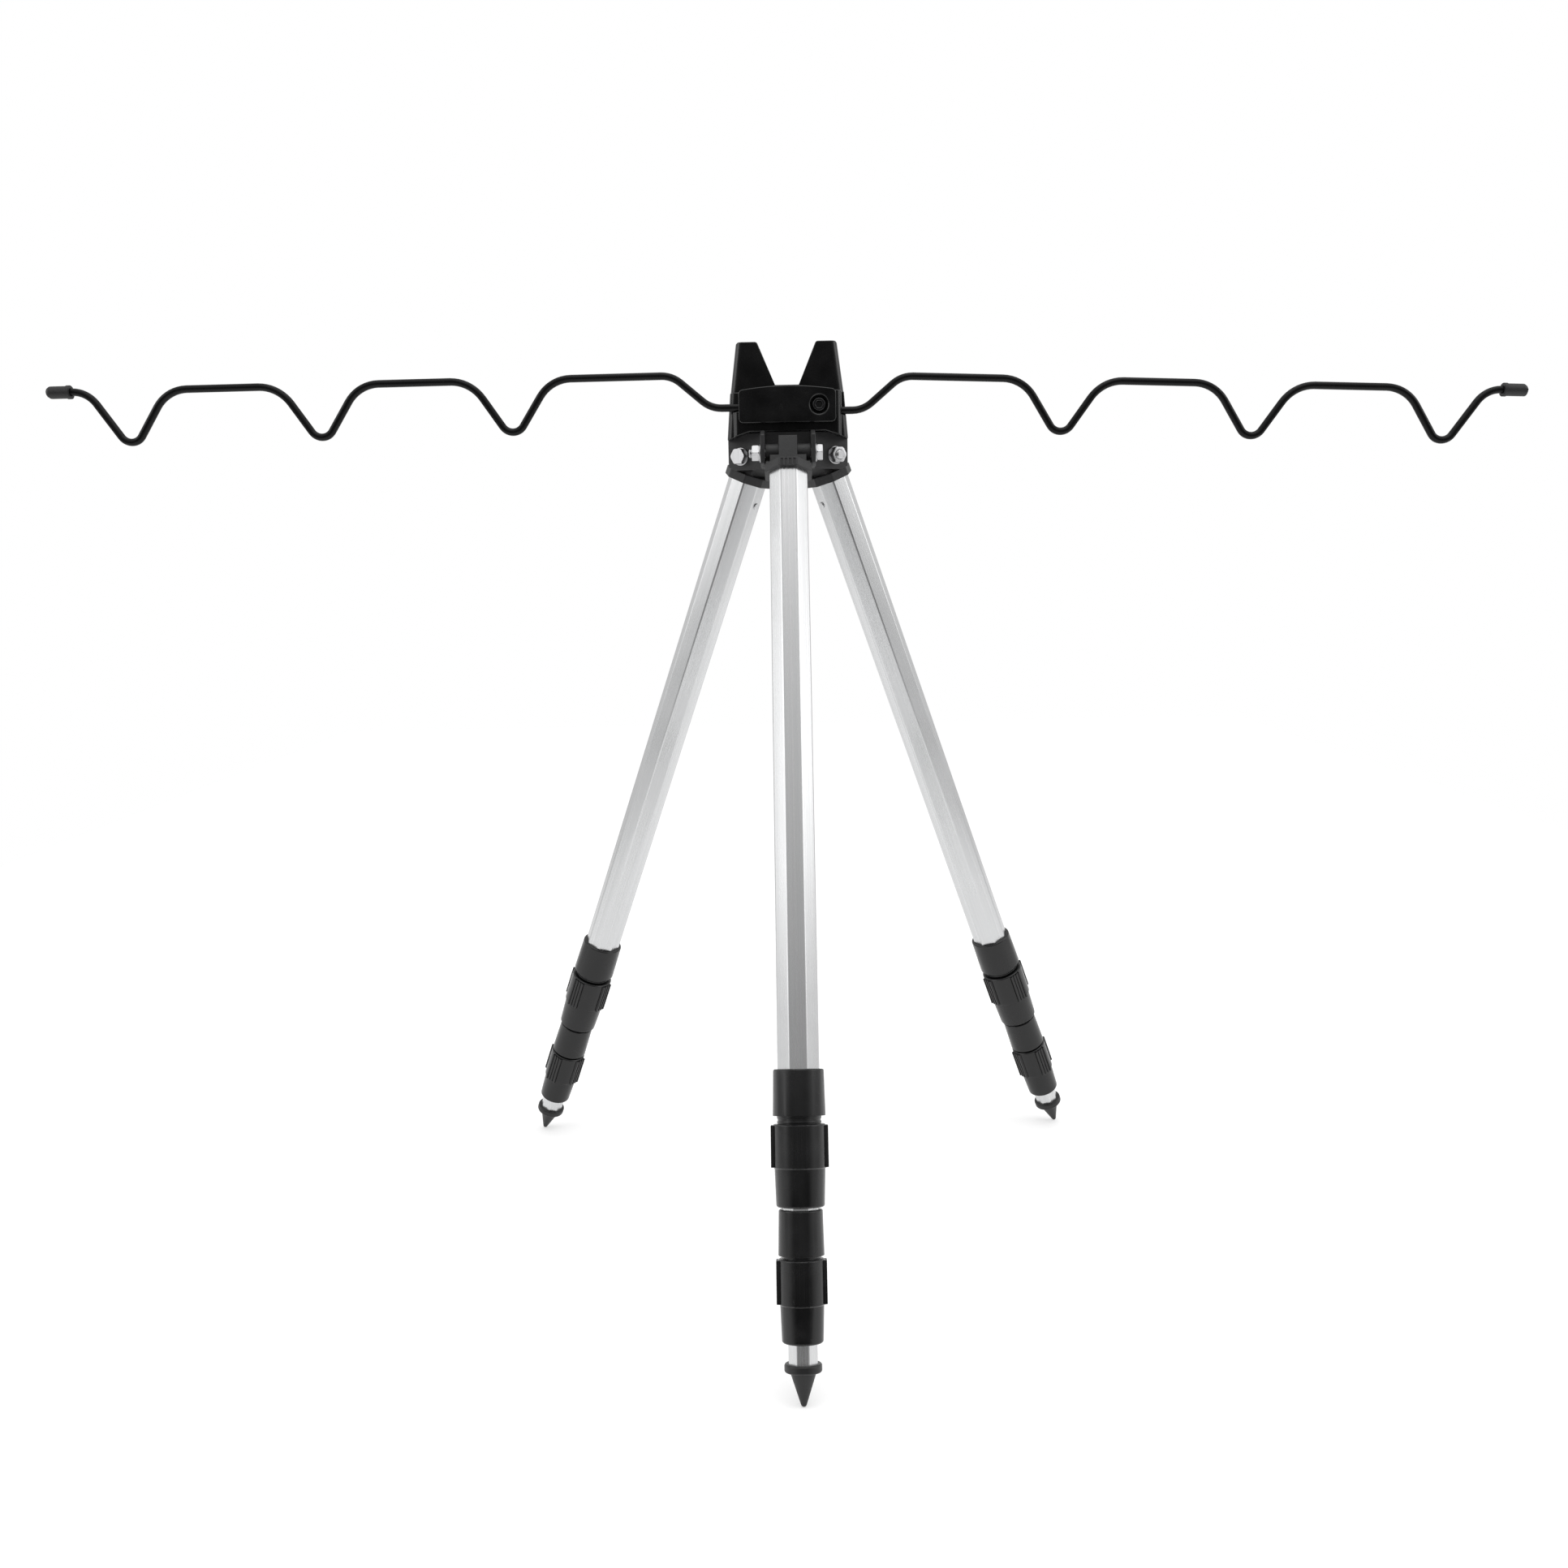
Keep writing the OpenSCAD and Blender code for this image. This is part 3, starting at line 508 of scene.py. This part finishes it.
@dataclass(frozen=True)
class SoftEdge:
    """How the edges of a moulding are rounded.

    Attributes:
        width: Width of the rounding in metres.
        segments: Facets across it.
        least: Smallest angle between faces that is rounded, in degrees.
        along: Direction of the edges that are rounded, or None for all of them.
        clear: Distance in metres from an inner edge under which an edge is left, as on a narrow ledge.
    """

    width: float
    segments: int = 2
    least: float = 28.0
    along: Vector | None = None
    clear: float = 0.0

    def choose(self, work: bmesh.types.BMesh) -> list[bmesh.types.BMEdge]:
        """Picks the edges to round.

        Args:
            work: The mesh.

        Returns:
            Its outer edges that are sharp enough and, where a direction is set, run along it.
        """
        least = math.radians(self.least)
        sharp = [e for e in work.edges if e.is_convex and e.calc_face_angle(0.0) > least]
        if self.along is not None:
            sharp = [e for e in sharp if self.runs_along(e)]
        if self.clear > 0.0:
            inner = [e for e in work.edges if not e.is_convex and e.calc_face_angle(0.0) > least]
            sharp = [e for e in sharp if all(self.gap(e, other) > self.clear for other in inner)]
        return sharp

    def runs_along(self, edge: bmesh.types.BMEdge) -> bool:
        """Tells whether an edge runs along the set direction."""
        way = (edge.verts[1].co - edge.verts[0].co).normalized()
        return abs(way.dot(self.along)) > PARALLEL

    @staticmethod
    def gap(edge: bmesh.types.BMEdge, other: bmesh.types.BMEdge) -> float:
        """Measures from the middle of an edge to the nearest point of another.

        Args:
            edge: The edge whose middle is used.
            other: The other edge.

        Returns:
            The distance in metres.
        """
        middle = edge.verts[0].co.lerp(edge.verts[1].co, 0.5)
        start, end = (vert.co for vert in other.verts)
        share = intersect_point_line(middle, start, end)[1]
        return (middle - start.lerp(end, min(1.0, max(0.0, share)))).length

    def round_off(self, work: bmesh.types.BMesh, edges: list[bmesh.types.BMEdge] | None = None) -> None:
        """Rounds edges of a mesh.

        Args:
            work: The mesh.
            edges: The edges to round, or None for those that it chooses itself.
        """
        chosen = self.choose(work) if edges is None else edges
        bmesh.ops.bevel(work, geom=chosen, offset=self.width, offset_type="OFFSET", segments=self.segments,
                        profile=0.5, affect="EDGES", clamp_overlap=False, loop_slide=False, material=-1)


def finished(mesh_name: str, work: bmesh.types.BMesh, finish: Finish, body: str) -> bpy.types.Object:
    """Turns a bmesh into a piece that rides on a body.

    Args:
        mesh_name: Name of the piece.
        work: The bmesh in its place, which is freed.
        finish: Its finish.
        body: The body that it rides on.

    Returns:
        The piece, at the origin with its place in its mesh.
    """
    limit = math.radians(SHARP_DEGREES)
    for face in work.faces:
        face.smooth = True
    for edge in work.edges:
        edge.smooth = len(edge.link_faces) == 2 and edge.calc_face_angle(0.0) < limit
    mesh = bpy.data.meshes.new(mesh_name)
    work.to_mesh(mesh)
    work.free()
    piece = bpy.data.objects.new(mesh_name, mesh)
    bpy.context.scene.collection.objects.link(piece)
    mesh.materials.append(finish.material())
    shade = piece.modifiers.new("flat_faces", "WEIGHTED_NORMAL")
    shade.mode = "FACE_AREA"
    shade.keep_sharp = True
    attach(piece, body)
    LOG.info("%s: %d faces on %s", mesh_name, len(mesh.polygons), body)
    return piece


def copied(node: bpy.types.Object, edge: SoftEdge | None) -> bmesh.types.BMesh:
    """Copies a node's mesh, joins its triangles and rounds its edges inside the node's box.

    Args:
        node: The node.
        edge: The rounding, or None to leave the edges.

    Returns:
        The copy.
    """
    work = bmesh.new()
    work.from_mesh(node.data)
    bmesh.ops.remove_doubles(work, verts=work.verts, dist=WELD)
    bmesh.ops.dissolve_limit(work, angle_limit=math.radians(FLAT_DEGREES), verts=work.verts, edges=work.edges)
    if edge is not None:
        box = [(min(row), max(row)) for row in zip(*(vert.co for vert in work.verts))]
        edge.round_off(work)
        for vert in work.verts:
            vert.co = [min(max(c, low), high) for c, (low, high) in zip(vert.co, box)]
    return work


def added(target: bmesh.types.BMesh, part: bmesh.types.BMesh, place: Matrix) -> None:
    """Adds a part to a mesh.

    Args:
        target: The mesh that grows.
        part: The part, which is freed.
        place: Where the part goes.
    """
    carrier = bpy.data.meshes.new("carrier")
    part.to_mesh(carrier)
    part.free()
    carrier.transform(place)
    target.from_mesh(carrier)
    bpy.data.meshes.remove(carrier)


def turned(profile: list[Span], steps: int) -> bmesh.types.BMesh:
    """Turns a profile about Z.

    Args:
        profile: Points (radius, height) in metres; points on the axis close the ends.
        steps: Facets round.

    Returns:
        The turned shape.
    """
    work = bmesh.new()
    points = [work.verts.new((r, 0.0, z)) for r, z in profile]
    edges = [work.edges.new(pair) for pair in zip(points, points[1:])]
    bmesh.ops.spin(work, geom=points + edges, cent=(0, 0, 0), axis=(0, 0, 1), angle=math.tau, steps=steps,
                   use_merge=True)
    bmesh.ops.remove_doubles(work, verts=work.verts, dist=AXIS_WELD)
    bmesh.ops.recalc_face_normals(work, faces=work.faces)
    return work


def hexagon(flats: float, height: float, chamfer: float) -> bmesh.types.BMesh:
    """Makes a hexagonal block on z = 0, with its corners chamfered at both ends.

    Args:
        flats: Width across the flats.
        height: Height along Z.
        chamfer: Size of the chamfers.

    Returns:
        The block, with a corner on +X.
    """
    work = bmesh.new()
    radius = flats / math.sqrt(3.0)
    place = Matrix.Translation((0, 0, height / 2)) @ Matrix.Rotation(math.pi / 6, 4, "Z")
    bmesh.ops.create_cone(work, cap_ends=True, segments=6, radius1=radius, radius2=radius, depth=height,
                          matrix=place)
    bmesh.ops.bevel(work, geom=list(work.verts), offset=chamfer, offset_type="OFFSET", segments=1,
                    profile=0.5, affect="VERTICES", clamp_overlap=True, material=-1)
    SoftEdge(chamfer / 4, 2, least=20.0).round_off(work)
    return work


@dataclass
class Builder:
    """What the sub-assemblies share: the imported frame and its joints.

    Attributes:
        joints: The frame's joints by name.
    """

    frame: dict[str, Any]
    joints: dict[str, dict[str, Any]] = field(init=False)

    def __post_init__(self) -> None:
        """Sorts the joints by name."""
        self.joints = {joint["name"]: joint for joint in self.frame["joints"]}

    def node(self, name: str) -> bpy.types.Object:
        """Gives a node by name."""
        return self.frame["nodes"][name]

    def moulding(self, name: str, finish: Finish, edge: SoftEdge | None) -> bpy.types.Object:
        """Replaces a node by a copy with rounded edges.

        Args:
            name: The node's name.
            finish: The copy's finish.
            edge: The rounding, or None to leave the edges.

        Returns:
            The copy.
        """
        node = self.node(name)
        piece = finished(f"{name}_surface", copied(node, edge), finish, node["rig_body"])
        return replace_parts(piece, name)

    def stand_in(self, name: str, work: bmesh.types.BMesh, finish: Finish) -> bpy.types.Object:
        """Replaces a node by a shape that was modelled afresh.

        Args:
            name: The node's name.
            work: The new shape in its place, which is freed.
            finish: Its finish.

        Returns:
            The new piece.
        """
        piece = finished(f"{name}_detail", work, finish, self.node(name)["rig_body"])
        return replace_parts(piece, name)

    def hinge(self, leg: Leg) -> Matrix:
        """Gives the frame of a leg's hinge bolt.

        Args:
            leg: The leg.

        Returns:
            The frame as a matrix: +Z along the bolt to its head, +X outwards from the tripod's axis.
        """
        at = Vector(self.joints[f"{leg.value}_leg_fold"]["pos_m"])
        out = Vector((at.x, at.y, 0.0)).normalized()
        along = Vector((0, 0, 1)).cross(out)
        return Matrix.Translation(at) @ Matrix((out, along.cross(out), along)).transposed().to_4x4()

    def keep(self, name: str, finish: Finish) -> None:
        """Keeps a node's own mesh and gives it a finish."""
        node = self.node(name)
        node.data.materials.clear()
        node.data.materials.append(finish.material())
        LOG.info("%s: kept with %s", name, finish.name)


# Sub-assemblies


@dataclass
class HingeFasteners:
    """The three hinge bolts with their nuts and washers.

    Attributes:
        builder: What the sub-assemblies share.
        seat: Distance from the hinge's middle to the washers' outer faces.
        flats: Heads and nuts across their flats.
        head: Height of a head.
        nut: Height of a nut.
        bolt: Radius of a bolt.
        past: Length of thread that shows past the nut.
        pitch: Pitch of the thread.
        washer: Radius of a washer.
        washer_t: Thickness of a washer.
        washer_room: Room between a washer's hole and the bolt.
        chamfer: Size of the chamfers on heads and nuts.
        mouth: Size of the chamfers of a nut's hole.
        mouth_cuts: Cuts in each side of a nut's face, which make its hole round.
    """

    builder: Builder
    seat: float = 19.0 * MM
    flats: float = 10.0 * MM
    head: float = 4.0 * MM
    nut: float = 5.0 * MM
    bolt: float = 3.0 * MM
    past: float = 2.0 * MM
    pitch: float = 1.0 * MM
    washer: float = 6.0 * MM
    washer_t: float = 0.8 * MM
    washer_room: float = 0.1 * MM
    chamfer: float = 0.9 * MM
    mouth: float = 0.5 * MM
    mouth_cuts: int = 4

    def shank(self) -> bmesh.types.BMesh:
        """Makes a bolt's shank, with the rings of its thread from the nut to its rounded end.

        Returns:
            The shank along Z, with its head's seat at the seat height.
        """
        low = -self.seat - self.nut - self.past
        rings = int((self.nut + self.past) / self.pitch) - 1
        crest = 0.2 * self.pitch
        root = 0.84 * self.bolt
        profile = [(0.0, low), (self.bolt * 0.75, low), (self.bolt * 0.9, low + 2 * crest)]
        for ring in range(rings):
            z = low + 3 * crest + ring * self.pitch
            profile += [(self.bolt, z), (self.bolt, z + crest), (root, z + 3 * crest)]
        profile += [(self.bolt, -self.seat + crest), (self.bolt, self.seat), (0.0, self.seat)]
        return turned(profile, 32)

    def disc(self) -> bmesh.types.BMesh:
        """Makes a washer on z = 0, with rounded edges and a hole.

        Returns:
            The washer.
        """
        soft = self.washer_t * 0.25
        inner = self.bolt + self.washer_room
        ring = [(inner, 0.0), (self.washer - soft, 0.0), (self.washer, soft),
                (self.washer, self.washer_t - soft), (self.washer - soft, self.washer_t),
                (inner, self.washer_t), (inner, 0.0)]
        return turned(ring, 48)

    def ends(self, work: bmesh.types.BMesh) -> list[bmesh.types.BMFace]:
        """Finds the two large faces at the ends of a hexagonal block."""
        least = 0.3 * self.flats ** 2
        return [f for f in work.faces if abs(f.normal.z) > PARALLEL and f.calc_area() > least]

    def nut_block(self) -> bmesh.types.BMesh:
        """Makes a nut on z = 0, with a round hole that is chamfered at both ends.

        Returns:
            The nut.
        """
        work = hexagon(self.flats, self.nut, self.chamfer)
        shortest = 0.15 * self.flats
        sides = {e for f in self.ends(work) for e in f.edges if e.calc_length() > shortest}
        bmesh.ops.subdivide_edges(work, edges=list(sides), cuts=self.mouth_cuts)
        faces = self.ends(work)
        for radius, depth in ((self.bolt + self.mouth, 0.0), (self.bolt, self.mouth)):
            bmesh.ops.inset_individual(work, faces=faces, thickness=self.mouth / 5, depth=-depth)
            for vert in (v for face in faces for v in face.verts):
                vert.co.xy = vert.co.xy.normalized() * radius
        return work

    def build(self) -> None:
        """Builds and dresses the bolts, nuts and washers of the three hinges."""
        bolts, nuts, washers = bmesh.new(), bmesh.new(), bmesh.new()
        for leg in Leg:
            hinge = self.builder.hinge(leg)
            added(bolts, self.shank(), hinge)
            head = hexagon(self.flats, self.head, self.chamfer)
            added(bolts, head, hinge @ Matrix.Translation((0, 0, self.seat)))
            added(nuts, self.nut_block(), hinge @ Matrix.Translation((0, 0, -self.seat - self.nut)))
            for low in (-self.seat, self.seat - self.washer_t):
                added(washers, self.disc(), hinge @ Matrix.Translation((0, 0, low)))
        for name, work in (("hinge_bolts", bolts), ("hinge_nuts", nuts), ("hinge_washers", washers)):
            self.builder.stand_in(name, work, ZINC)


@dataclass
class Head:
    """Base, fork, jaw, clamp plates and the head's fasteners.

    Attributes:
        builder: What the sub-assemblies share.
        body_edge: Rounding of the forked body.
        plate_edge: Rounding of the jaw and the clamp plates.
        base_edge: Rounding of the base.
        bolt_edge: Rounding of the middle bolt.
        screw_edge: Rounding of the clamp screws.
    """

    builder: Builder
    body_edge: SoftEdge = SoftEdge(0.8 * MM, 3, 40.0, clear=0.5 * MM)
    plate_edge: SoftEdge = SoftEdge(0.7 * MM, 3)
    base_edge: SoftEdge = SoftEdge(0.6 * MM, 3)
    bolt_edge: SoftEdge = SoftEdge(0.25 * MM, 2)
    screw_edge: SoftEdge = SoftEdge(0.5 * MM, 3)

    def build(self) -> None:
        """Builds and dresses the head."""
        build = self.builder
        build.moulding("fork_body", HORN_PLASTIC, self.body_edge)
        for name in ("front_jaw", "front_clamp_plate", "rear_clamp_plate"):
            build.moulding(name, HORN_PLASTIC, self.plate_edge)
        build.moulding("leg_base", BASE_PLASTIC, self.base_edge)
        HingeFasteners(build).build()
        build.moulding("head_bolt", ZINC, self.bolt_edge)
        build.moulding("clamp_screws", SCREW_STEEL, self.screw_edge)
        build.keep("clamp_nuts", ZINC)
        build.keep("head_insert", BRASS)


@dataclass
class WireArm:
    """One folding wire arm with its cap.

    Attributes:
        builder: What the sub-assemblies share.
        side: Which arm it is.
        dome: Rounding of the cap's closed end.
        rim: Rounding of the cap's other edges.
    """

    builder: Builder
    side: Side
    dome: SoftEdge = SoftEdge(2.2 * MM, 6)
    rim: SoftEdge = SoftEdge(0.2 * MM, 2, 40.0)

    def cap(self) -> bmesh.types.BMesh:
        """Copies the cap and rounds its closed end.

        Returns:
            The cap.
        """
        work = copied(self.builder.node(f"{self.side.value}_arm_cap"), None)
        inner = max(abs(v.co.x) for v in work.verts) - self.dome.width / 2
        closed_end = [e for e in self.dome.choose(work) if all(abs(v.co.x) > inner for v in e.verts)]
        self.dome.round_off(work, closed_end)
        self.rim.round_off(work)
        return work

    def build(self) -> None:
        """Builds and dresses the arm."""
        self.builder.moulding(f"{self.side.value}_arm_wire", WIRE_COAT, None)
        self.builder.stand_in(f"{self.side.value}_arm_cap", self.cap(), CAP_RUBBER)


@dataclass
class TripodLeg:
    """One telescopic leg with its plug, tubes, locks and foot.

    Attributes:
        builder: What the sub-assemblies share.
        leg: Which leg it is.
        lock_edge: Rounding of the locks' collars and nuts.
        plug_edge: Rounding of the plug.
        rivet_edge: Rounding of the rivet.
        foot_edge: Rounding of the foot.
        tube_edge: Width of the rounding along the tubes.
        tube_colour: Colour of the tubes, linear.
        tube_roughness: Mean roughness of the tubes.
    """

    builder: Builder
    leg: Leg
    lock_edge: SoftEdge = SoftEdge(0.3 * MM, 2)
    plug_edge: SoftEdge = SoftEdge(0.35 * MM, 2)
    rivet_edge: SoftEdge = SoftEdge(0.4 * MM, 3)
    foot_edge: SoftEdge = SoftEdge(0.4 * MM, 2)
    tube_edge: float = 0.9 * MM
    tube_colour: Colour = (0.72, 0.725, 0.73)
    tube_roughness: float = 0.26

    def frame(self) -> Matrix:
        """Gives the leg's frame: origin at its hinge, +Z up the leg and +Y along the hinge.

        Returns:
            The frame as a matrix.
        """
        hinge = self.builder.joints[f"{self.leg.value}_leg_fold"]
        along = Vector(hinge["axis"]).normalized()
        up = -Vector(self.builder.joints[f"{self.leg.value}_middle_slide"]["axis"]).normalized()
        out = along.cross(up).normalized()
        turn = Matrix((out, along, up)).transposed().to_4x4()
        return Matrix.Translation(Vector(hinge["pos_m"])) @ turn

    def build(self) -> None:
        """Builds and dresses the leg."""
        build, name = self.builder, self.leg.value
        rows = tuple(tuple(row) for row in self.frame())
        tube = DrawnMetal(f"drawn_aluminium_{name}", "bright_aluminium", self.tube_colour, self.tube_roughness,
                          frame=rows)
        build.moulding(f"{name}_leg_plug", BASE_PLASTIC, self.plug_edge)
        corners = SoftEdge(self.tube_edge, 3, along=self.frame().col[2].to_3d())
        for piece in ("upper_tube", "middle_tube", "inner_tube"):
            build.moulding(f"{name}_{piece}", tube, corners)
        build.moulding(f"{name}_tube_rivet", tube, self.rivet_edge)
        for lock in Lock:
            build.moulding(f"{name}_{lock.value}_nut", LOCK_PLASTIC, self.lock_edge)
            build.keep(f"{name}_{lock.value}_collet", NYLON)
        for piece in ("upper_collar", "middle_collar"):
            build.moulding(f"{name}_{piece}", LOCK_PLASTIC, self.lock_edge)
        for piece in ("middle_guide", "inner_guide"):
            build.keep(f"{name}_{piece}", NYLON)
        build.moulding(f"{name}_foot_spike", FOOT_PLASTIC, self.foot_edge)


# Studio


@dataclass(frozen=True)
class Room:
    """Brightness of the white room, as ranges of a direction's parts and of the strength over each.

    Attributes:
        front: Range of Y over which the dim front takes over.
        rising: Range of Z above, in front, and its strengths.
        sinking: Range of Z below, in front, and its strengths.
        beside: Range of X over which the sides' glow takes over.
        glow: Range of Z at the sides, and the strengths that it adds.
        around: Range of Z everywhere but in front, and its strengths.
    """

    front: Span = (-0.40, -0.85)
    rising: tuple[Span, Span] = ((0.12, 0.75), (0.04, 0.78))
    sinking: tuple[Span, Span] = ((-0.20, -0.50), (0.0, 0.55))
    beside: Span = (0.60, 0.95)
    glow: tuple[Span, Span] = ((0.0, 0.30), (0.0, 0.20))
    around: tuple[Span, Span] = ((-0.30, 0.20), (0.50, 0.74))

    def strength(self, shading: Shading) -> bpy.types.NodeSocket:
        """Works out the room's brightness in a direction.

        Args:
            shading: The world's node tree.

        Returns:
            The strength's socket.
        """
        way = shading.add("ShaderNodeTexCoord").outputs["Generated"]
        x, y, z = shading.add("ShaderNodeSeparateXYZ", {0: way}).outputs
        front = shading.remap(y, self.front, UNIT, True)
        ahead = shading.math("MAXIMUM", shading.remap(z, *self.rising), shading.remap(z, *self.sinking))
        beside = shading.remap(shading.math("ABSOLUTE", x), self.beside, UNIT, True)
        glow = shading.math("MULTIPLY", beside, shading.remap(z, *self.glow))
        around = shading.math("ADD", shading.remap(z, *self.around), glow)
        return shading.math("ADD", shading.math("MULTIPLY", front, ahead),
                            shading.math("MULTIPLY", shading.math("SUBTRACT", 1.0, front), around))


@dataclass(frozen=True)
class Softbox:
    """A soft square lamp.

    Attributes:
        name: The lamp's name.
        place: Where it hangs, in metres.
        aim: What it faces, in metres.
        size: Its side in metres.
        power: Its power in watts.
    """

    name: str
    place: Point
    aim: Point
    size: float
    power: float

    def hang(self) -> None:
        """Adds the lamp to the scene."""
        data = bpy.data.lights.new(self.name, "AREA")
        data.size = self.size
        data.energy = self.power
        lamp = bpy.data.objects.new(self.name, data)
        turn = (Vector(self.aim) - Vector(self.place)).to_track_quat("-Z", "Y")
        lamp.matrix_world = Matrix.Translation(Vector(self.place)) @ turn.to_matrix().to_4x4()
        bpy.context.scene.collection.objects.link(lamp)


@dataclass
class Studio:
    """Pale floor, soft light and the photograph's camera.

    Attributes:
        eye: The camera's place in metres.
        yaw: Turn of the view to the right, in degrees.
        pitch: Tilt of the view downwards, in degrees.
        roll: Roll of the view, in degrees.
        focal_px: Focal length in pixels of the photograph.
        sensor: Width of the sensor in millimetres.
        nearest: Nearest distance that the camera sees, in metres.
        floor_half: Half of the floor's width and depth in metres.
        floor_mid: Where the floor's middle lies in Y, in metres.
        floor_drop: How far the floor lies below the feet, in metres.
        floor_grey: Grey of the floor, linear.
        floor_roughness: Roughness of the floor.
        floor_glow: Brightness that the camera sees on top of the light.
        floor_mirrored: Share of that brightness in mirrored and transmitted views.
        room: Brightness of the room.
        softboxes: The lamps.
    """

    eye: Point = (0.0, -0.9133, 0.4725)
    yaw: float = -0.43
    pitch: float = 9.80
    roll: float = -1.03
    focal_px: float = 1597.0
    sensor: float = 36.0
    nearest: float = 0.02
    floor_half: Span = (1.3, 1.8)
    floor_mid: float = 1.05
    floor_drop: float = 0.2 * MM
    floor_grey: float = 0.80
    floor_roughness: float = 0.9
    floor_glow: float = 0.40
    floor_mirrored: float = 0.62
    room: Room = Room()
    softboxes: tuple[Softbox, ...] = (
        Softbox("overhead_softbox", (0.2, -0.3, 2.6), (0.0, 0.0, 0.3), 2.2, 14.0),
        Softbox("left_softbox", (-2.2, -0.6, 1.2), (0.0, 0.0, 0.4), 1.4, 7.0),
        Softbox("right_softbox", (2.2, -0.4, 1.3), (0.0, 0.0, 0.4), 1.4, 7.0))

    def camera(self) -> None:
        """Sets the camera to the photograph's view."""
        yaw, pitch, roll = (math.radians(a) for a in (self.yaw, self.pitch, self.roll))
        ahead = Vector((math.sin(yaw) * math.cos(pitch), math.cos(yaw) * math.cos(pitch), -math.sin(pitch)))
        right = Vector((math.cos(yaw), -math.sin(yaw), 0.0))
        up = right.cross(ahead)
        right, up = right * math.cos(roll) + up * math.sin(roll), up * math.cos(roll) - right * math.sin(roll)
        data = bpy.data.cameras.new("photo_view")
        data.sensor_width = self.sensor
        data.lens = self.focal_px / IMAGE_SIDE * self.sensor
        data.clip_start = self.nearest
        camera = bpy.data.objects.new("photo_view", data)
        turn = Matrix((right, up, -ahead)).transposed().to_4x4()
        camera.matrix_world = Matrix.Translation(Vector(self.eye)) @ turn
        bpy.context.scene.collection.objects.link(camera)
        bpy.context.scene.camera = camera

    def world(self) -> None:
        """Sets a white room that is dim in front, behind the photograph's camera."""
        world = bpy.data.worlds.new("studio_room")
        bpy.context.scene.world = world
        world.use_nodes = True
        shading = Shading(world.node_tree)
        world.node_tree.nodes.clear()
        level = self.room.strength(shading)
        lit = shading.add("ShaderNodeBackground", {"Color": (1, 1, 1, 1), "Strength": level})
        seen = shading.add("ShaderNodeBackground", {"Color": (1, 1, 1, 1), "Strength": 1.0})
        path = shading.add("ShaderNodeLightPath")
        mixed = shading.add("ShaderNodeMixShader", {
            0: path.outputs["Is Camera Ray"], 1: lit.outputs[0], 2: seen.outputs[0]})
        shading.add("ShaderNodeOutputWorld", {0: mixed.outputs[0]})

    def floor(self) -> None:
        """Lays a pale floor that keeps the object's shadow."""
        work = bmesh.new()
        place = Matrix.Translation((0.0, self.floor_mid, 0.0)) @ Matrix.Diagonal((*self.floor_half, 1.0, 1.0))
        bmesh.ops.create_grid(work, x_segments=1, y_segments=1, size=1.0, matrix=place)
        mesh = bpy.data.meshes.new("floor")
        work.to_mesh(mesh)
        work.free()
        floor = bpy.data.objects.new("floor", mesh)
        floor.location.z = -self.floor_drop
        bpy.context.scene.collection.objects.link(floor)
        pale = bpy.data.materials.new("pale_floor")
        pale.use_nodes = True
        shading = Shading(pale.node_tree)
        surface = pale.node_tree.nodes["Principled BSDF"]
        surface.inputs["Base Color"].default_value = (*(self.floor_grey,) * 3, 1.0)
        surface.inputs["Roughness"].default_value = self.floor_roughness
        surface.inputs["Specular IOR Level"].default_value = 0.0
        path = shading.add("ShaderNodeLightPath")
        mirrored = shading.math("MAXIMUM", path.outputs["Is Glossy Ray"], path.outputs["Is Transmission Ray"])
        weak = shading.math("MULTIPLY", mirrored, self.floor_mirrored)
        seen = shading.math("MAXIMUM", path.outputs["Is Camera Ray"], weak)
        surface.inputs["Emission Color"].default_value = (1, 1, 1, 1)
        glow = shading.math("MULTIPLY", seen, self.floor_glow)
        shading.tree.links.new(glow, surface.inputs["Emission Strength"])
        mesh.materials.append(pale)

    def build(self) -> None:
        """Sets the whole studio."""
        self.camera()
        self.world()
        self.floor()
        for softbox in self.softboxes:
            softbox.hang()
        bpy.context.scene.view_settings.view_transform = "Standard"


def main() -> None:
    """Builds the pieces and the studio."""
    logging.basicConfig(level=logging.INFO, format="%(name)s %(message)s")
    builder = Builder(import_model())
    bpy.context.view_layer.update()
    Head(builder).build()
    for side in Side:
        WireArm(builder, side).build()
    for leg in Leg:
        TripodLeg(builder, leg).build()
    Studio().build()


if __name__ == "__main__":
    main()
